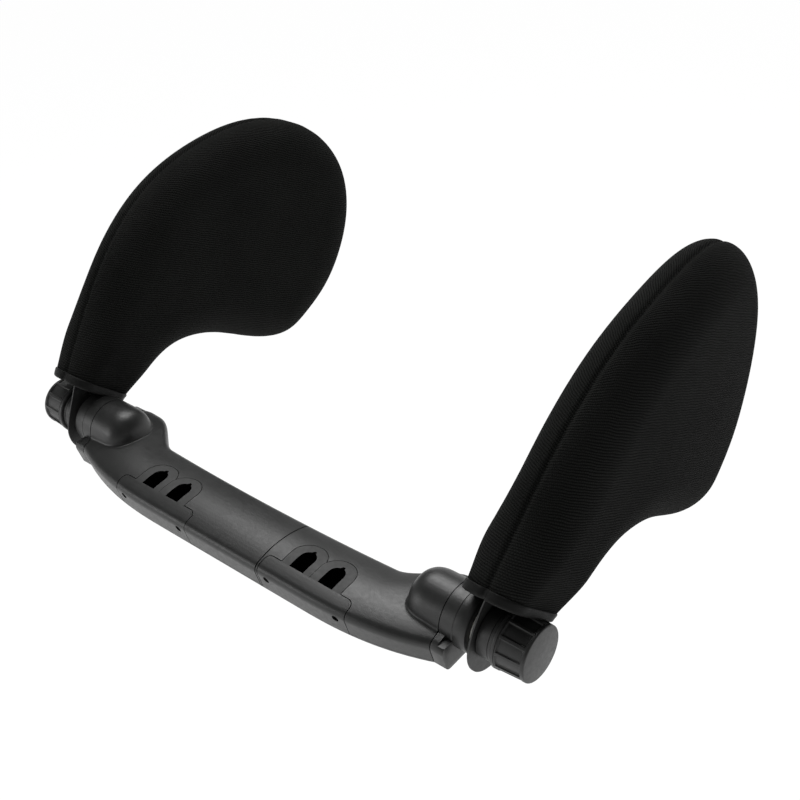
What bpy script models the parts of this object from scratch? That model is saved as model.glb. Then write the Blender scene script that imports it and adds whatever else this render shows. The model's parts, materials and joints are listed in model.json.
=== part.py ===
"""Clamp-on side supports for a headrest: a telescopic bar that grips the two headrest posts, with a
padded wing on a friction hinge at each end. Lengths below are in millimetres, and MM turns them into
metres when a mesh is made. X runs along the bar, Y towards the tips of the wings, Z up the posts.
The origin is midway between the posts, at half the bar's thickness."""

import math

import bmesh
import bpy
import numpy as np
from mathutils import Matrix, Vector

MM = 0.001
GAP = 0.3  # clearance between neighbouring pieces
SIDES = {"left": -1, "right": 1}

# Facets
TURN = 24  # sides of a round piece
ARC = 3  # steps in a rounded corner
STATION = 9  # spacing of the bar's cross-sections near its ends
PAD_STATIONS, PAD_ACROSS = 15, 7

# Bar
HALF_HEIGHT = 9.84
WALL = 2.2
BAR_END = 146.0  # where the housings stop and the end caps begin
SEAM_X = 29.5  # where the two halves of the bar meet
SEAM_GAP = 0.15  # from the seam to each half
BULKHEAD = 2.5  # wall that closes each half at the seam
PART_Z = -6.3  # joint between the upper and the lower shell
FRONT_Y = -21.0
REAR_Y = 26.2
CROWN_TOP, CROWN_FALL = 12.8, 6.7  # highest line of the domed top, and its fall to the rear edge
CROWN_BACK, CROWN_REACH = 20.0, 26.5  # from the front face to the highest line; run of the full fall
TRAVEL = 27.0  # how far the right half pulls out

# Post slots
SLOT_X = (53.1, 75.0)
SLOT_WIDTH = 10.6
SLOT_STRAIGHT_Y = -0.5  # where the straight walls of a slot end and its arch begins
SLOT_ARCH = 5.9
SLOT_NUB = ((1.4, 5.2), (0.8, 6.9))  # (half width, y) of the small notch at the top of the arch
LINER_TOP_Y = 11.5
LINER_RADIUS = 11.4
DOOR_Y = -9.84  # the door's inner face, and the open side of the slots
DOOR_X = (31.4, 96.4)
DOOR_CORNER = 3.75
DOOR_SCREW_X = (37.6, 89.9)
DOOR_SCREW_Z = 3.3
DOOR_HEAD_R = 1.9

# Telescope and screws
SLEEVE_X = (-25.0, 32.2)
SLEEVE_Y = (-8.5, 16.0)
SLEEVE_Z = (-6.5, 6.0)
SLEEVE_WALL = 2.0
SLEEVE_TANG_X = 41.2  # end of the tang that the two sleeve screws hold
SHELL_SCREWS = {"left": ((-104.0, 3.0), (-33.0, 14.6)), "right": ((104.0, 3.0),)}
SHELL_SCREW_TOP = 5.0
POST_R = 3.6  # posts the shell screws drive into
SLEEVE_SCREWS = {"front": (36.5, 6.2), "rear": (36.5, 12.8)}
FLOOR_SCREW_TOP = -1.0
STOP_X, STOP_Y, STOP_TOP = 10.0, 5.0, -4.6
SCREW_R, SCREW_HEAD_R = 1.3, 2.7
SCREW_SEAT = 1.6  # depth of a screw head's pocket in the underside
SPRING_LOW, SPRING_HIGH, SPRING_THICK = (-22.0, 1.0), (20.0, 9.0), 0.9

# Hinge
AXIS_Y = 18.85
AXIS_Z = 10.8
BOSS_R = 17.6
NOSE_START, NOSE_TIP, NOSE_POWER = 134.0, 117.5, 2.6
COLLAR_END = 163.0
SPIGOT_START = 131.0
BOLT_R = 3.9
BOLT_HEAD_X = 123.5
BOLT_END = 189.5
WASHER_THICK = 1.0
HUB_IN, HUB_OUT = COLLAR_END + WASHER_THICK + 2 * GAP, 170.2
HUB_R = 21.0
HUB_DROP = 5.0  # the hub's lower arc is centred this far below the hinge axis
RECESS_R, RECESS_DEPTH = 17.6, 2.0
SPACER_R, SPACER_END = 15.6, 178.0
KNOB_START, KNOB_END = SPACER_END + GAP, 198.6
KNOB_R_IN, KNOB_R_OUT = 17.4, 16.2
KNOB_PANELS = 11
NUT_X = (180.2, 186.7)
NUT_R = 7.35
BUSH_R = 5.6
CAP_SCREW_X = 139.0
CAP_BLOCK_END = 154.7
CAP_STEP_X, CAP_STEP_Z = 150.4, 8.2  # beyond this the top of the end cap's block is lower
SPIGOT_R = BOSS_R - WALL - GAP
COLLAR_PIN_X = 156.5
COLLAR_PIN_ANGLE = math.radians(208)

# Pad
PAD_EDGE = 30.5  # depth over which the pad rounds off from its full thickness to its edge
MOUTH_EDGE = 13.0  # the same at the mouth, whose section is blunter
MOUTH_THICKNESS = 0.80  # thickness at the mouth, as a share of the pad's
PAD_INNER, PAD_OUTER = 21.4, 23.4  # half thicknesses towards the head and away from it
PAD_MID_X = 180.3
COVER_THICK = 1.4
COVER_START = 0.02  # where the cover begins, beyond the band, as a share of the way to the tip
PAD_OUTLINE = [(9.5, 47), (37.5, 80.2), (70.1, 112.3), (113.2, 138.1), (164.2, 149.3), (218.1, 145.8),
               (257.1, 123.7), (276.8, 89.2), (276.7, 50.4), (264.7, 20.1), (244.9, -5), (223.4, -19.4),
               (204, -26.4), (177.7, -19.1), (137, 7), (96.6, 19.8), (48, 13)]  # (y, z), from mouth to mouth
PAD_TIP = 0.53  # the tip's place, as a share of the outline's length
ARM_SPINE = [(18.85, 5.8), (25, 24), (38, 42), (66, 62), (106, 74), (150, 72), (190, 64)]
ARM_HALF = [21.0, 17.0, 17.0, 19.0, 26.0, 30.0, 12.0]

COLOURS = {
    "housing": ((0.030, 0.031, 0.033), 0.55, 0.0),
    "liner": ((0.045, 0.046, 0.047), 0.75, 0.0),
    "knob": ((0.034, 0.035, 0.036), 0.5, 0.0),
    "steel": ((0.55, 0.55, 0.56), 0.35, 1.0),
    "brass": ((0.72, 0.55, 0.28), 0.35, 1.0),
    "nylon": ((0.80, 0.79, 0.74), 0.5, 0.0),
    "foam": ((0.16, 0.16, 0.17), 0.95, 0.0),
    "cover": ((0.012, 0.012, 0.013), 0.9, 0.0),
    "binding": ((0.022, 0.022, 0.024), 0.6, 0.0),
}


# ---------------------------------------------------------------- tools

def clear_scene():
    for obj in list(bpy.data.objects):
        bpy.data.objects.remove(obj, do_unlink=True)


def material(name):
    """One material for each piece, with the colour of its kind."""
    kind, _, piece = name.partition(":")
    colour, roughness, metallic = COLOURS[kind]
    made = bpy.data.materials.new(piece)
    made.use_nodes = True
    shader = made.node_tree.nodes["Principled BSDF"]
    shader.inputs["Base Color"].default_value = (*colour, 1)
    shader.inputs["Roughness"].default_value = roughness
    shader.inputs["Metallic"].default_value = metallic
    made.diffuse_color = (*colour, 1)
    return made


def mesh_object(name, points, faces):
    """An object from points in millimetres; its normals are made to face out."""
    mesh = bpy.data.meshes.new(name)
    mesh.from_pydata([Vector(p) * MM for p in points], [], faces)
    shape = bmesh.new()
    shape.from_mesh(mesh)
    bmesh.ops.recalc_face_normals(shape, faces=shape.faces)
    shape.to_mesh(mesh)
    shape.free()
    obj = bpy.data.objects.new(name, mesh)
    bpy.context.scene.collection.objects.link(obj)
    return obj


def boolean(target, operation, *others):
    """Applies Booleans to target in order and removes the other objects."""
    for other in others:
        step = target.modifiers.new(operation, "BOOLEAN")
        step.operation = operation
        step.solver = "EXACT"
        step.object = other
        bpy.context.view_layer.update()
        graph = bpy.context.evaluated_depsgraph_get()
        result = bpy.data.meshes.new_from_object(target.evaluated_get(graph))
        target.modifiers.clear()
        target.data = result
        bpy.data.objects.remove(other, do_unlink=True)
    return target


def cut(target, *others):
    return boolean(target, "DIFFERENCE", *others)


def join(target, *others):
    return boolean(target, "UNION", *others)


def keep(target, *others):
    return boolean(target, "INTERSECT", *others)


def loft(name, rings):
    """A skin through rings of equal length, with a flat face over each end ring."""
    count = len(rings[0])
    points = [p for ring in rings for p in ring]
    faces = []
    for i in range(len(rings) - 1):
        for j in range(count):
            k = (j + 1) % count
            faces.append([i * count + j, i * count + k, (i + 1) * count + k, (i + 1) * count + j])
    faces.append(list(range(count)))
    faces.append([(len(rings) - 1) * count + j for j in range(count)])
    return mesh_object(name, points, faces)


def box(low, high, name="box"):
    corners = [(x, y, z) for x in (low[0], high[0]) for y in (low[1], high[1]) for z in (low[2], high[2])]
    faces = [(0, 1, 3, 2), (4, 5, 7, 6), (0, 1, 5, 4), (2, 3, 7, 6), (0, 2, 6, 4), (1, 3, 7, 5)]
    return mesh_object(name, corners, faces)


def prism(outline, low, high, name="prism"):
    """An outline of (x, y) points, extruded from z = low to z = high."""
    return loft(name, [[(x, y, z) for x, y in outline] for z in (low, high)])


def turned(profile, side, steps=TURN, centre=(AXIS_Y, AXIS_Z), name="turned"):
    """A solid turned about a line along X: profile holds (distance from the middle, radius)."""
    rings = []
    for x, radius in profile:
        angles = [2 * math.pi * i / steps for i in range(steps)]
        rings.append([(side * x, centre[0] + radius * math.cos(a), centre[1] + radius * math.sin(a))
                      for a in angles])
    return loft(name, rings)


def upright(x, y, profile, steps=12, name="upright"):
    """A solid turned about a vertical line: profile holds (z, radius)."""
    rings = []
    for z, radius in profile:
        angles = [2 * math.pi * i / steps for i in range(steps)]
        rings.append([(x + radius * math.cos(a), y + radius * math.sin(a), z) for a in angles])
    return loft(name, rings)


def along_y(x, z, profile, steps=12, name="along_y"):
    """A solid turned about a line along Y: profile holds (y, radius)."""
    rings = []
    for y, radius in profile:
        angles = [2 * math.pi * i / steps for i in range(steps)]
        rings.append([(x + radius * math.cos(a), y, z + radius * math.sin(a)) for a in angles])
    return loft(name, rings)


def smoothstep(t):
    t = min(max(t, 0.0), 1.0)
    return t * t * (3 - 2 * t)


def rounded(corners, steps=ARC):
    """A closed outline from (u, v, radius) corners, each radius drawn as an arc."""
    outline = []
    for i, (u, v, radius) in enumerate(corners):
        here = Vector((u, v))
        back = (Vector(corners[i - 1][:2]) - here).normalized()
        ahead = (Vector(corners[(i + 1) % len(corners)][:2]) - here).normalized()
        half = back.angle(ahead) / 2
        if radius <= 0:
            outline.append((u, v))
            continue
        reach = radius / math.tan(half)
        centre = here + (back + ahead).normalized() * radius / math.sin(half)
        start = here + back * reach - centre
        sweep = math.pi - 2 * half
        turn = math.copysign(1, start.x * (here - centre).y - start.y * (here - centre).x)
        for step in range(steps + 1):
            a = turn * sweep * step / steps
            outline.append((centre.x + start.x * math.cos(a) - start.y * math.sin(a),
                            centre.y + start.x * math.sin(a) + start.y * math.cos(a)))
    return outline


def spline(points, count):
    """Points at even spacing along the natural cubic curve through the given ones."""
    given = np.array(points, float)
    knots = np.concatenate([[0], np.cumsum(np.linalg.norm(np.diff(given, axis=0), axis=1))])
    gaps, total = np.diff(knots), len(given)
    system, slopes = np.eye(total), np.zeros_like(given)
    for i in range(1, total - 1):
        system[i, i - 1:i + 2] = gaps[i - 1], 2 * (gaps[i - 1] + gaps[i]), gaps[i]
        slopes[i] = 6 * ((given[i + 1] - given[i]) / gaps[i] - (given[i] - given[i - 1]) / gaps[i - 1])
    bend = np.linalg.solve(system, slopes)
    dense = np.linspace(0, knots[-1], 1201)
    k = np.clip(np.searchsorted(knots, dense, side="right") - 1, 0, total - 2)
    h, left, right = gaps[k, None], (dense - knots[k])[:, None], (knots[k + 1] - dense)[:, None]
    curve = ((bend[k] * right ** 3 + bend[k + 1] * left ** 3) / (6 * h)
             + (given[k] / h - bend[k] * h / 6) * right + (given[k + 1] / h - bend[k + 1] * h / 6) * left)
    length = np.concatenate([[0], np.cumsum(np.linalg.norm(np.diff(curve, axis=0), axis=1))])
    goals = np.linspace(0, length[-1], count)
    return [Vector((np.interp(g, length, curve[:, 0]), np.interp(g, length, curve[:, 1]))) for g in goals]


def finish(obj, name, kind, parent=None):
    """Names a piece, gives it its material and smooth shading, and hangs it on its body's empty."""
    obj.name = name
    obj.data.name = name
    obj.data.materials.clear()
    obj.data.materials.append(material(f"{kind}:{name}"))
    for polygon in obj.data.polygons:
        polygon.material_index = 0
    obj.data.shade_smooth()
    obj.data.set_sharp_from_angle(angle=math.radians(32))
    if parent:
        obj.data.transform(Matrix.Translation(-parent.location))
        obj.location = (0, 0, 0)
        obj.parent = parent
    return obj


def body_empty(name, location):
    empty = bpy.data.objects.new(name, None)
    empty.location = Vector(location) * MM
    empty.empty_display_size = 0.02
    bpy.context.scene.collection.objects.link(empty)
    return empty


# ---------------------------------------------------------------- bar

def bar_front(x):
    return FRONT_Y + 13.5 * max(0.0, (abs(x) - 62) / 84) ** 2.4


def bar_rear(x):
    swell = 2 * (x / 90) ** 2 + 18.5 * smoothstep((abs(x) - 96) / 36)
    return REAR_Y + swell - 3 * max(0.0, (abs(x) - 139) / 10) ** 2


def bar_top(x, y):
    """Height of the bar's domed top."""
    away = y - bar_front(x) - CROWN_BACK
    reach = CROWN_REACH if away < 0 else bar_rear(x) - bar_front(x) - CROWN_BACK
    return CROWN_TOP - smoothstep((abs(x) - 100) / 46) - CROWN_FALL * (away / reach) ** 2


def bar_section(x, inset=0.0):
    """The bar's outline in the YZ plane at x, drawn in by inset on every side."""
    front, rear, half = bar_front(x) + inset, bar_rear(x) - inset, HALF_HEIGHT - inset
    start, end, steps = front + 4.5, rear - 4.5, 4
    crown = [start + (end - start) * step / steps for step in range(steps + 1)]
    corners = [(front + 3.4, -half, 3.0), (front - 0.2, bar_top(x, front - 0.2) - inset, 5.0)]
    corners += [(y, bar_top(x, y) - inset, 0) for y in crown]
    corners += [(rear, bar_top(x, rear) - inset, 5.5), (rear - 2.5, -half, 4.0)]
    return [(x, y, z) for y, z in rounded([(y, z, r and max(r - inset, 0.8)) for y, z, r in corners])]


def bar_solid(low, high, inset=0.0):
    """The bar's envelope between two places along X."""
    inside = [x for x in range(-15 * STATION, 16 * STATION, STATION)
              if low + 3 < x < high - 3 and (abs(x) > 80 or x % (4 * STATION) == 0)]
    return loft("bar", [bar_section(x, inset) for x in [low] + inside + [high]])


def hood(side, inset=0.0, grow=0.0):
    """The round boss over the bolt head, with a blunt nose towards the middle of the bar."""
    tip, power = NOSE_TIP + inset, NOSE_POWER
    profile = []
    for step in range(1, 6):
        angle = math.pi / 2 * step / 5
        profile.append((NOSE_START - (NOSE_START - tip) * math.cos(angle) ** (2 / power),
                        (BOSS_R - inset) * math.sin(angle) ** (2 / power)))
    profile.append((BAR_END + grow, BOSS_R - inset))
    return turned(profile, side, name="hood")


def liner_outline(side, gap=0.0):
    """The M shape of the post liner: two arches side by side."""
    outline = []
    radius = LINER_RADIUS + gap
    inner, outer = SLOT_X
    meet = math.acos((outer - inner) / 2 / radius)
    for centre, first, last in ((inner, math.pi, meet), (outer, math.pi - meet, 0.0)):
        for step in range(7):
            a = first + (last - first) * step / 6
            outline.append((side * (centre + radius * math.cos(a)),
                            LINER_TOP_Y - LINER_RADIUS + radius * math.sin(a)))
    start, end = outline[0], outline[-1]
    return [(start[0], DOOR_Y - gap)] + outline + [(end[0], DOOR_Y - gap)]


def slot_outline(side, centre):
    """A post slot: straight walls, an arch, and a small notch at its top."""
    half, steps = SLOT_WIDTH / 2, 4
    wall = [(half, DOOR_Y - 2)]
    for step in range(steps + 1):
        a = math.radians(62) * step / steps
        wall.append((half * math.cos(a), SLOT_STRAIGHT_Y + SLOT_ARCH * math.sin(a)))
    wall += SLOT_NUB
    return [(side * centre - x, y) for x, y in wall] + [(side * centre + x, y) for x, y in wall[::-1]]


def door_block(side, gap):
    """The space of a door, grown by gap: its two corners on the liner's side are rounded in plan."""
    low, high = sorted((side * (DOOR_X[0] - gap), side * (DOOR_X[1] + gap)))
    rear, corner = DOOR_Y + gap, DOOR_CORNER + gap
    outline = rounded([(low, -40, 0), (high, -40, 0), (high, rear, corner), (low, rear, corner)])
    return prism(outline, -30, 30)


def side_box(side, near, far, y, z):
    low, high = sorted((side * near, side * far))
    return box((low, y[0], z[0]), (high, y[1], z[1]))


def housing(side, upper):
    """One shell of the left or the right half of the bar, closed by a bulkhead where the halves meet."""
    start = SEAM_X + side * SEAM_GAP
    low, high = (-BAR_END, start) if side < 0 else (start, BAR_END)
    inner_low, inner_high = (low - 5, high - BULKHEAD) if side < 0 else (low + BULKHEAD, high + 5)
    shell = bar_solid(low, high)
    if upper:
        join(shell, hood(side))
    cut(shell, bar_solid(inner_low, inner_high, WALL))
    if upper:
        cut(shell, hood(side, WALL, 5))
        keep(shell, box((-200, -60, PART_Z + 0.1), (200, 80, 60)))
    else:
        keep(shell, box((-200, -60, -60), (200, 80, PART_Z - 0.1)))
    cut(shell, box((SEAM_X - 4, SLEEVE_Y[0] - GAP, SLEEVE_Z[0] - GAP),
                   (SEAM_X + 4, SLEEVE_Y[1] + GAP, SLEEVE_Z[1] + GAP)))
    if upper:
        for x in DOOR_SCREW_X:
            join(shell, side_box(side, x - 3.5, x + 3.5, (DOOR_Y + 0.4, 2.0),
                                 (-0.5, bar_top(x, DOOR_Y) - 0.8)))
    cut(shell, door_block(side, GAP), prism(liner_outline(side, GAP), -30, 30))
    if upper:
        for x in DOOR_SCREW_X:
            cut(shell, along_y(side * x, DOOR_SCREW_Z, [(DOOR_Y - 1, 1.5), (0.5, 1.5)]))
    return shell


def floor_screw(x, y, top):
    """A screw driven up through the bar's underside, its head sunk in the shell."""
    low, high = -HALF_HEIGHT + 0.4, -HALF_HEIGHT + SCREW_SEAT - GAP
    return join(upright(x, y, [(low, SCREW_HEAD_R), (high, SCREW_HEAD_R)]),
                upright(x, y, [(high - 0.5, SCREW_R), (top, SCREW_R)]))


def floor_screw_hole(x, y, top):
    seat = -HALF_HEIGHT + SCREW_SEAT
    head = upright(x, y, [(-HALF_HEIGHT - 3, SCREW_HEAD_R + GAP), (seat, SCREW_HEAD_R + GAP)])
    return join(head, upright(x, y, [(-HALF_HEIGHT, SCREW_R + GAP), (top + GAP, SCREW_R + GAP)]))


def build_bar(bodies):
    for side_name, side in SIDES.items():
        body = bodies["bar" if side < 0 else "sliding_half"]
        upper = housing(side, True)
        lower = housing(side, False)
        for x, y in SHELL_SCREWS[side_name]:
            top = min(bar_top(x, y - POST_R), bar_top(x, y + POST_R)) - 0.6
            join(upper, upright(x, y, [(-5.5, POST_R), (top, POST_R)]))
            cut(upper, upright(x, y, [(-8, SCREW_R + GAP), (SHELL_SCREW_TOP + GAP, SCREW_R + GAP)]))
            cut(lower, floor_screw_hole(x, y, SHELL_SCREW_TOP))
        if side > 0:
            for x, y in SLEEVE_SCREWS.values():
                cut(lower, floor_screw_hole(x, y, FLOOR_SCREW_TOP))
        else:
            cut(lower, floor_screw_hole(STOP_X, STOP_Y, STOP_TOP))
        cut(lower, floor_screw_hole(side * CAP_SCREW_X, AXIS_Y, FLOOR_SCREW_TOP))
        finish(upper, f"{side_name}_upper_shell", "housing", body)
        finish(lower, f"{side_name}_lower_shell", "housing", body)
        for i, (x, y) in enumerate(SHELL_SCREWS[side_name]):
            finish(floor_screw(x, y, SHELL_SCREW_TOP), f"{side_name}_shell_screw_{i + 1}", "steel", body)
        liner = prism(liner_outline(side), -20, 20)
        keep(liner, bar_solid(*sorted((side * (SLOT_X[0] - 20), side * (SLOT_X[1] + 20)))))
        for centre in SLOT_X:
            cut(liner, prism(slot_outline(side, centre), -30, 30))
        finish(liner, f"{side_name}_post_liner", "liner", body)


def build_door(side_name, side, body):
    door = bar_solid(-BAR_END, 0) if side < 0 else bar_solid(0, BAR_END)
    keep(door, door_block(side, 0.0))
    low, high = sorted((side * (DOOR_SCREW_X[0] + 6), side * (DOOR_SCREW_X[1] - 6)))
    cut(door, box((low, -15.4, -30), (high, DOOR_Y - 2.5, HALF_HEIGHT - 3)))
    for x in DOOR_SCREW_X:
        cut(door, along_y(side * x, DOOR_SCREW_Z, [(-40, DOOR_HEAD_R + GAP), (-15.5, DOOR_HEAD_R + GAP)]),
            along_y(side * x, DOOR_SCREW_Z, [(-30, 1.5), (0, 1.5)]))
    finish(door, f"{side_name}_clamp_door", "housing", body)
    for x, place in zip(DOOR_SCREW_X, ("inner", "outer")):
        head = along_y(side * x, DOOR_SCREW_Z, [(-17.6, DOOR_HEAD_R), (-15.8, DOOR_HEAD_R)])
        join(head, along_y(side * x, DOOR_SCREW_Z, [(-16.5, 1.2), (-0.5, 1.2)]))
        finish(head, f"{side_name}_door_screw_{place}", "steel", body)


def build_sleeve(body, bar_body):
    """The inner sleeve rides with the right half and slides in the left one."""
    (x0, x1), (y0, y1), (z0, z1) = SLEEVE_X, SLEEVE_Y, SLEEVE_Z
    sleeve = box((x0, y0, z0), (x1, y1, z1))
    join(sleeve, box((x1 - 2, 3.0, z0), (SLEEVE_TANG_X, y1, z1)))
    wall = SLEEVE_WALL
    cut(sleeve, box((x0 - 5, y0 + wall, z0 + wall), (x1 - 3, y1 - wall, z1 - wall)))
    slot_low, slot_high = STOP_X - TRAVEL - 2.0, STOP_X + 2.0
    cut(sleeve, box((slot_low, STOP_Y - 2.0, z0 - 5), (slot_high, STOP_Y + 2.0, z0 + 4)))
    for x, y in SLEEVE_SCREWS.values():
        cut(sleeve, upright(x, y, [(-20, SCREW_R + GAP), (FLOOR_SCREW_TOP + GAP, SCREW_R + GAP)]))
    finish(sleeve, "sliding_sleeve", "housing", body)
    for place, (x, y) in SLEEVE_SCREWS.items():
        finish(floor_screw(x, y, FLOOR_SCREW_TOP), f"sleeve_screw_{place}", "steel", body)
    finish(floor_screw(STOP_X, STOP_Y, STOP_TOP), "travel_stop_screw", "steel", bar_body)
    top = SLEEVE_Z[1] + GAP
    spring = box((*SPRING_LOW, top), (*SPRING_HIGH, top + SPRING_THICK))
    finish(spring, "slide_friction_spring", "steel", bar_body)


# ---------------------------------------------------------------- hinge

def build_end_cap(side):
    """The block that closes the bar's end, with a step in its outer face, and the hinge's collar."""
    outline = bar_section(BAR_END)
    cap = loft("cap", [[(side * x, y, z) for _, y, z in outline] for x in (BAR_END + 0.15, CAP_BLOCK_END)])
    cut(cap, side_box(side, CAP_STEP_X, CAP_BLOCK_END + 5, (-40, 80), (CAP_STEP_Z, 40)))
    collar = [(BAR_END + 0.15, BOSS_R), (COLLAR_END - 0.6, BOSS_R), (COLLAR_END, BOSS_R - 0.6)]
    join(cap, turned(collar, side))
    join(cap, turned([(SPIGOT_START, SPIGOT_R), (BAR_END + 3, SPIGOT_R)], side))
    cut(cap, turned([(SPIGOT_START - 3, BOLT_R + GAP), (COLLAR_END + 3, BOLT_R + GAP)], side, steps=16))
    screw_r = SCREW_R + GAP
    cut(cap, upright(side * CAP_SCREW_X, AXIS_Y, [(-20, screw_r), (FLOOR_SCREW_TOP + GAP, screw_r)]))
    return cap


def radial(side, x, angle, profile):
    """A solid turned about a line that leaves the hinge axis at right angles: (distance, radius) pairs."""
    pin = upright(0, 0, profile, steps=16)
    turn = Matrix.Rotation(angle - math.pi / 2, 4, "X")
    place = Matrix.Translation(Vector((side * x, AXIS_Y, AXIS_Z)) * MM)
    pin.data.transform(place @ turn)
    return pin


def build_hinge(side_name, side, body):
    cap = build_end_cap(side)
    cut(cap, radial(side, COLLAR_PIN_X, COLLAR_PIN_ANGLE, [(BOSS_R - 7, 1.3), (BOSS_R + 5, 1.3)]))
    finish(cap, f"{side_name}_end_cap", "housing", body)
    pin = radial(side, COLLAR_PIN_X, COLLAR_PIN_ANGLE, [(BOSS_R - 6.5, 1.0), (BOSS_R - 0.8, 1.0)])
    finish(pin, f"{side_name}_collar_pin", "steel", body)
    screw = floor_screw(side * CAP_SCREW_X, AXIS_Y, FLOOR_SCREW_TOP)
    finish(screw, f"{side_name}_cap_screw", "steel", body)
    washer_x = SPIGOT_START - GAP - 1.6
    bolt = turned([(BOLT_HEAD_X, 7.4), (washer_x - GAP, 7.4)], side, steps=6)
    join(bolt, turned([(washer_x - 2, BOLT_R), (BOLT_END, BOLT_R)], side, steps=16))
    finish(bolt, f"{side_name}_hinge_bolt", "steel", body)
    washer = turned([(washer_x, 9.0), (washer_x + 1.6, 9.0)], side)
    cut(washer, turned([(washer_x - 2, BOLT_R + GAP), (washer_x + 5, BOLT_R + GAP)], side, steps=16))
    finish(washer, f"{side_name}_bolt_washer", "steel", body)
    ring = turned([(COLLAR_END + GAP, 13.5), (COLLAR_END + GAP + WASHER_THICK, 13.5)], side)
    cut(ring, turned([(COLLAR_END - 1, BOLT_R + GAP), (HUB_IN + 1, BOLT_R + GAP)], side, steps=16))
    finish(ring, f"{side_name}_friction_washer", "nylon", body)


def build_knob(side_name, side, carriage, body):
    floor = HUB_OUT - RECESS_DEPTH
    spacer = turned([(floor + GAP, SPACER_R - 0.4), (floor + 0.7, SPACER_R), (SPACER_END, SPACER_R)], side)
    cut(spacer, turned([(floor - 3, BOLT_R + GAP), (SPACER_END + 3, BOLT_R + GAP)], side, steps=16))
    finish(spacer, f"{side_name}_spacer", "knob", carriage)
    knob = turned([(KNOB_START, KNOB_R_IN - 0.5), (KNOB_START + 0.5, KNOB_R_IN),
                   (KNOB_END - 0.7, KNOB_R_OUT), (KNOB_END, KNOB_R_OUT - 0.7)], side,
                  steps=3 * KNOB_PANELS)
    for i in range(KNOB_PANELS):
        centre = 2 * math.pi * (i + 0.5) / KNOB_PANELS
        width = math.pi / KNOB_PANELS * 0.80
        rings = []
        for x, depth in ((KNOB_START + 2.2, 1.1), (KNOB_END - 3.0, 1.1)):
            radius = KNOB_R_IN + (KNOB_R_OUT - KNOB_R_IN) * (x - KNOB_START) / (KNOB_END - KNOB_START)
            ring = [(side * x, AXIS_Y + r * math.cos(centre + a), AXIS_Z + r * math.sin(centre + a))
                    for r, a in ((radius - depth, -width), (radius - depth, width),
                                 (radius + 3, width), (radius + 3, -width))]
            rings.append(ring)
        cut(knob, loft("panel", rings))
    pocket_r = NUT_R + GAP + 0.05
    cut(knob, turned([(KNOB_START - 2, pocket_r), (NUT_X[1] + GAP, pocket_r)], side, steps=6))
    cut(knob, turned([(KNOB_START, BOLT_R + 0.5), (BOLT_END + 1.5, BOLT_R + 0.5)], side, steps=16))
    finish(knob, f"{side_name}_knob", "knob", body)
    nut = turned([(NUT_X[0], NUT_R), (NUT_X[1], NUT_R)], side, steps=6)
    cut(nut, turned([(NUT_X[0] - 2, BOLT_R + GAP), (NUT_X[1] + 2, BOLT_R + GAP)], side, steps=16))
    finish(nut, f"{side_name}_knob_nut", "brass", body)


# ---------------------------------------------------------------- wing

def pad_mid(y):
    """The middle of the pad's thickness, which cups slightly round the head."""
    return PAD_MID_X - 0.037 * (y - 159) - 0.00064 * (y - 159) ** 2


def edge_distance(point, outline):
    """How far a point of the YZ plane is from the pad's sewn edge."""
    nearest = math.inf
    for a, b in zip(outline, outline[1:]):
        along = b - a
        share = min(max((point - a).dot(along) / along.length_squared, 0.0), 1.0)
        nearest = min(nearest, (point - a - along * share).length)
    return nearest


def pad_rings(side, shares, across, inset, thinner):
    """Rings round the pad at shares of the way from the mouth to the tip. inset draws the outline in,
    thinner draws in the faces."""
    samples = 1000
    curve = spline(PAD_OUTLINE, samples + 1)
    outline = curve[::16]
    rings = []
    for share in shares:
        share = min(share, 0.99)
        a = curve[round(share * PAD_TIP * samples)]
        b = curve[samples - round(share * (1 - PAD_TIP) * samples)]
        drawn_in = min(inset / (b - a).length, 0.4)
        a, b = a.lerp(b, drawn_in), b.lerp(a, drawn_in)
        neck = MOUTH_THICKNESS + (1 - MOUTH_THICKNESS) * smoothstep(share / 0.10)
        edge = MOUTH_EDGE + (PAD_EDGE - MOUTH_EDGE) * smoothstep(share / 0.22)
        near, far = [], []
        for j in range(across + 1):
            point = a.lerp(b, 0.5 - 0.5 * math.cos(math.pi * j / across))
            depth = min(edge_distance(point, outline) / edge, 1.0)
            bulge = math.sqrt(1 - (1 - depth) ** 2) * neck
            middle = pad_mid(point.x)
            for row, half, sign in ((near, PAD_INNER, -1), (far, PAD_OUTER, 1)):
                half = max(bulge * half - thinner, 0.15)
                row.append((side * (middle + sign * half), point.x, point.y))
        rings.append(near + far[::-1])
    return rings


def bag(outer, inner, closed):
    """A skin between an outer and an inner set of rings, open at its first end and, unless closed,
    at its last."""
    count = len(outer[0])
    points = [p for ring in outer + inner for p in ring]
    second = len(outer) * count
    last_outer, last_inner = (len(outer) - 1) * count, second + (len(inner) - 1) * count
    faces = []
    for j in range(count):
        k = (j + 1) % count
        for first, number in ((0, len(outer)), (second, len(inner))):
            for i in range(first, first + (number - 1) * count, count):
                faces.append([i + j, i + k, i + count + k, i + count + j])
        faces.append([j, k, second + k, second + j])
        if not closed:
            faces.append([last_outer + j, last_outer + k, last_inner + k, last_inner + j])
    if closed:
        faces += [[last + j for j in range(count)] for last in (last_outer, last_inner)]
    return mesh_object("bag", points, faces)


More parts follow.
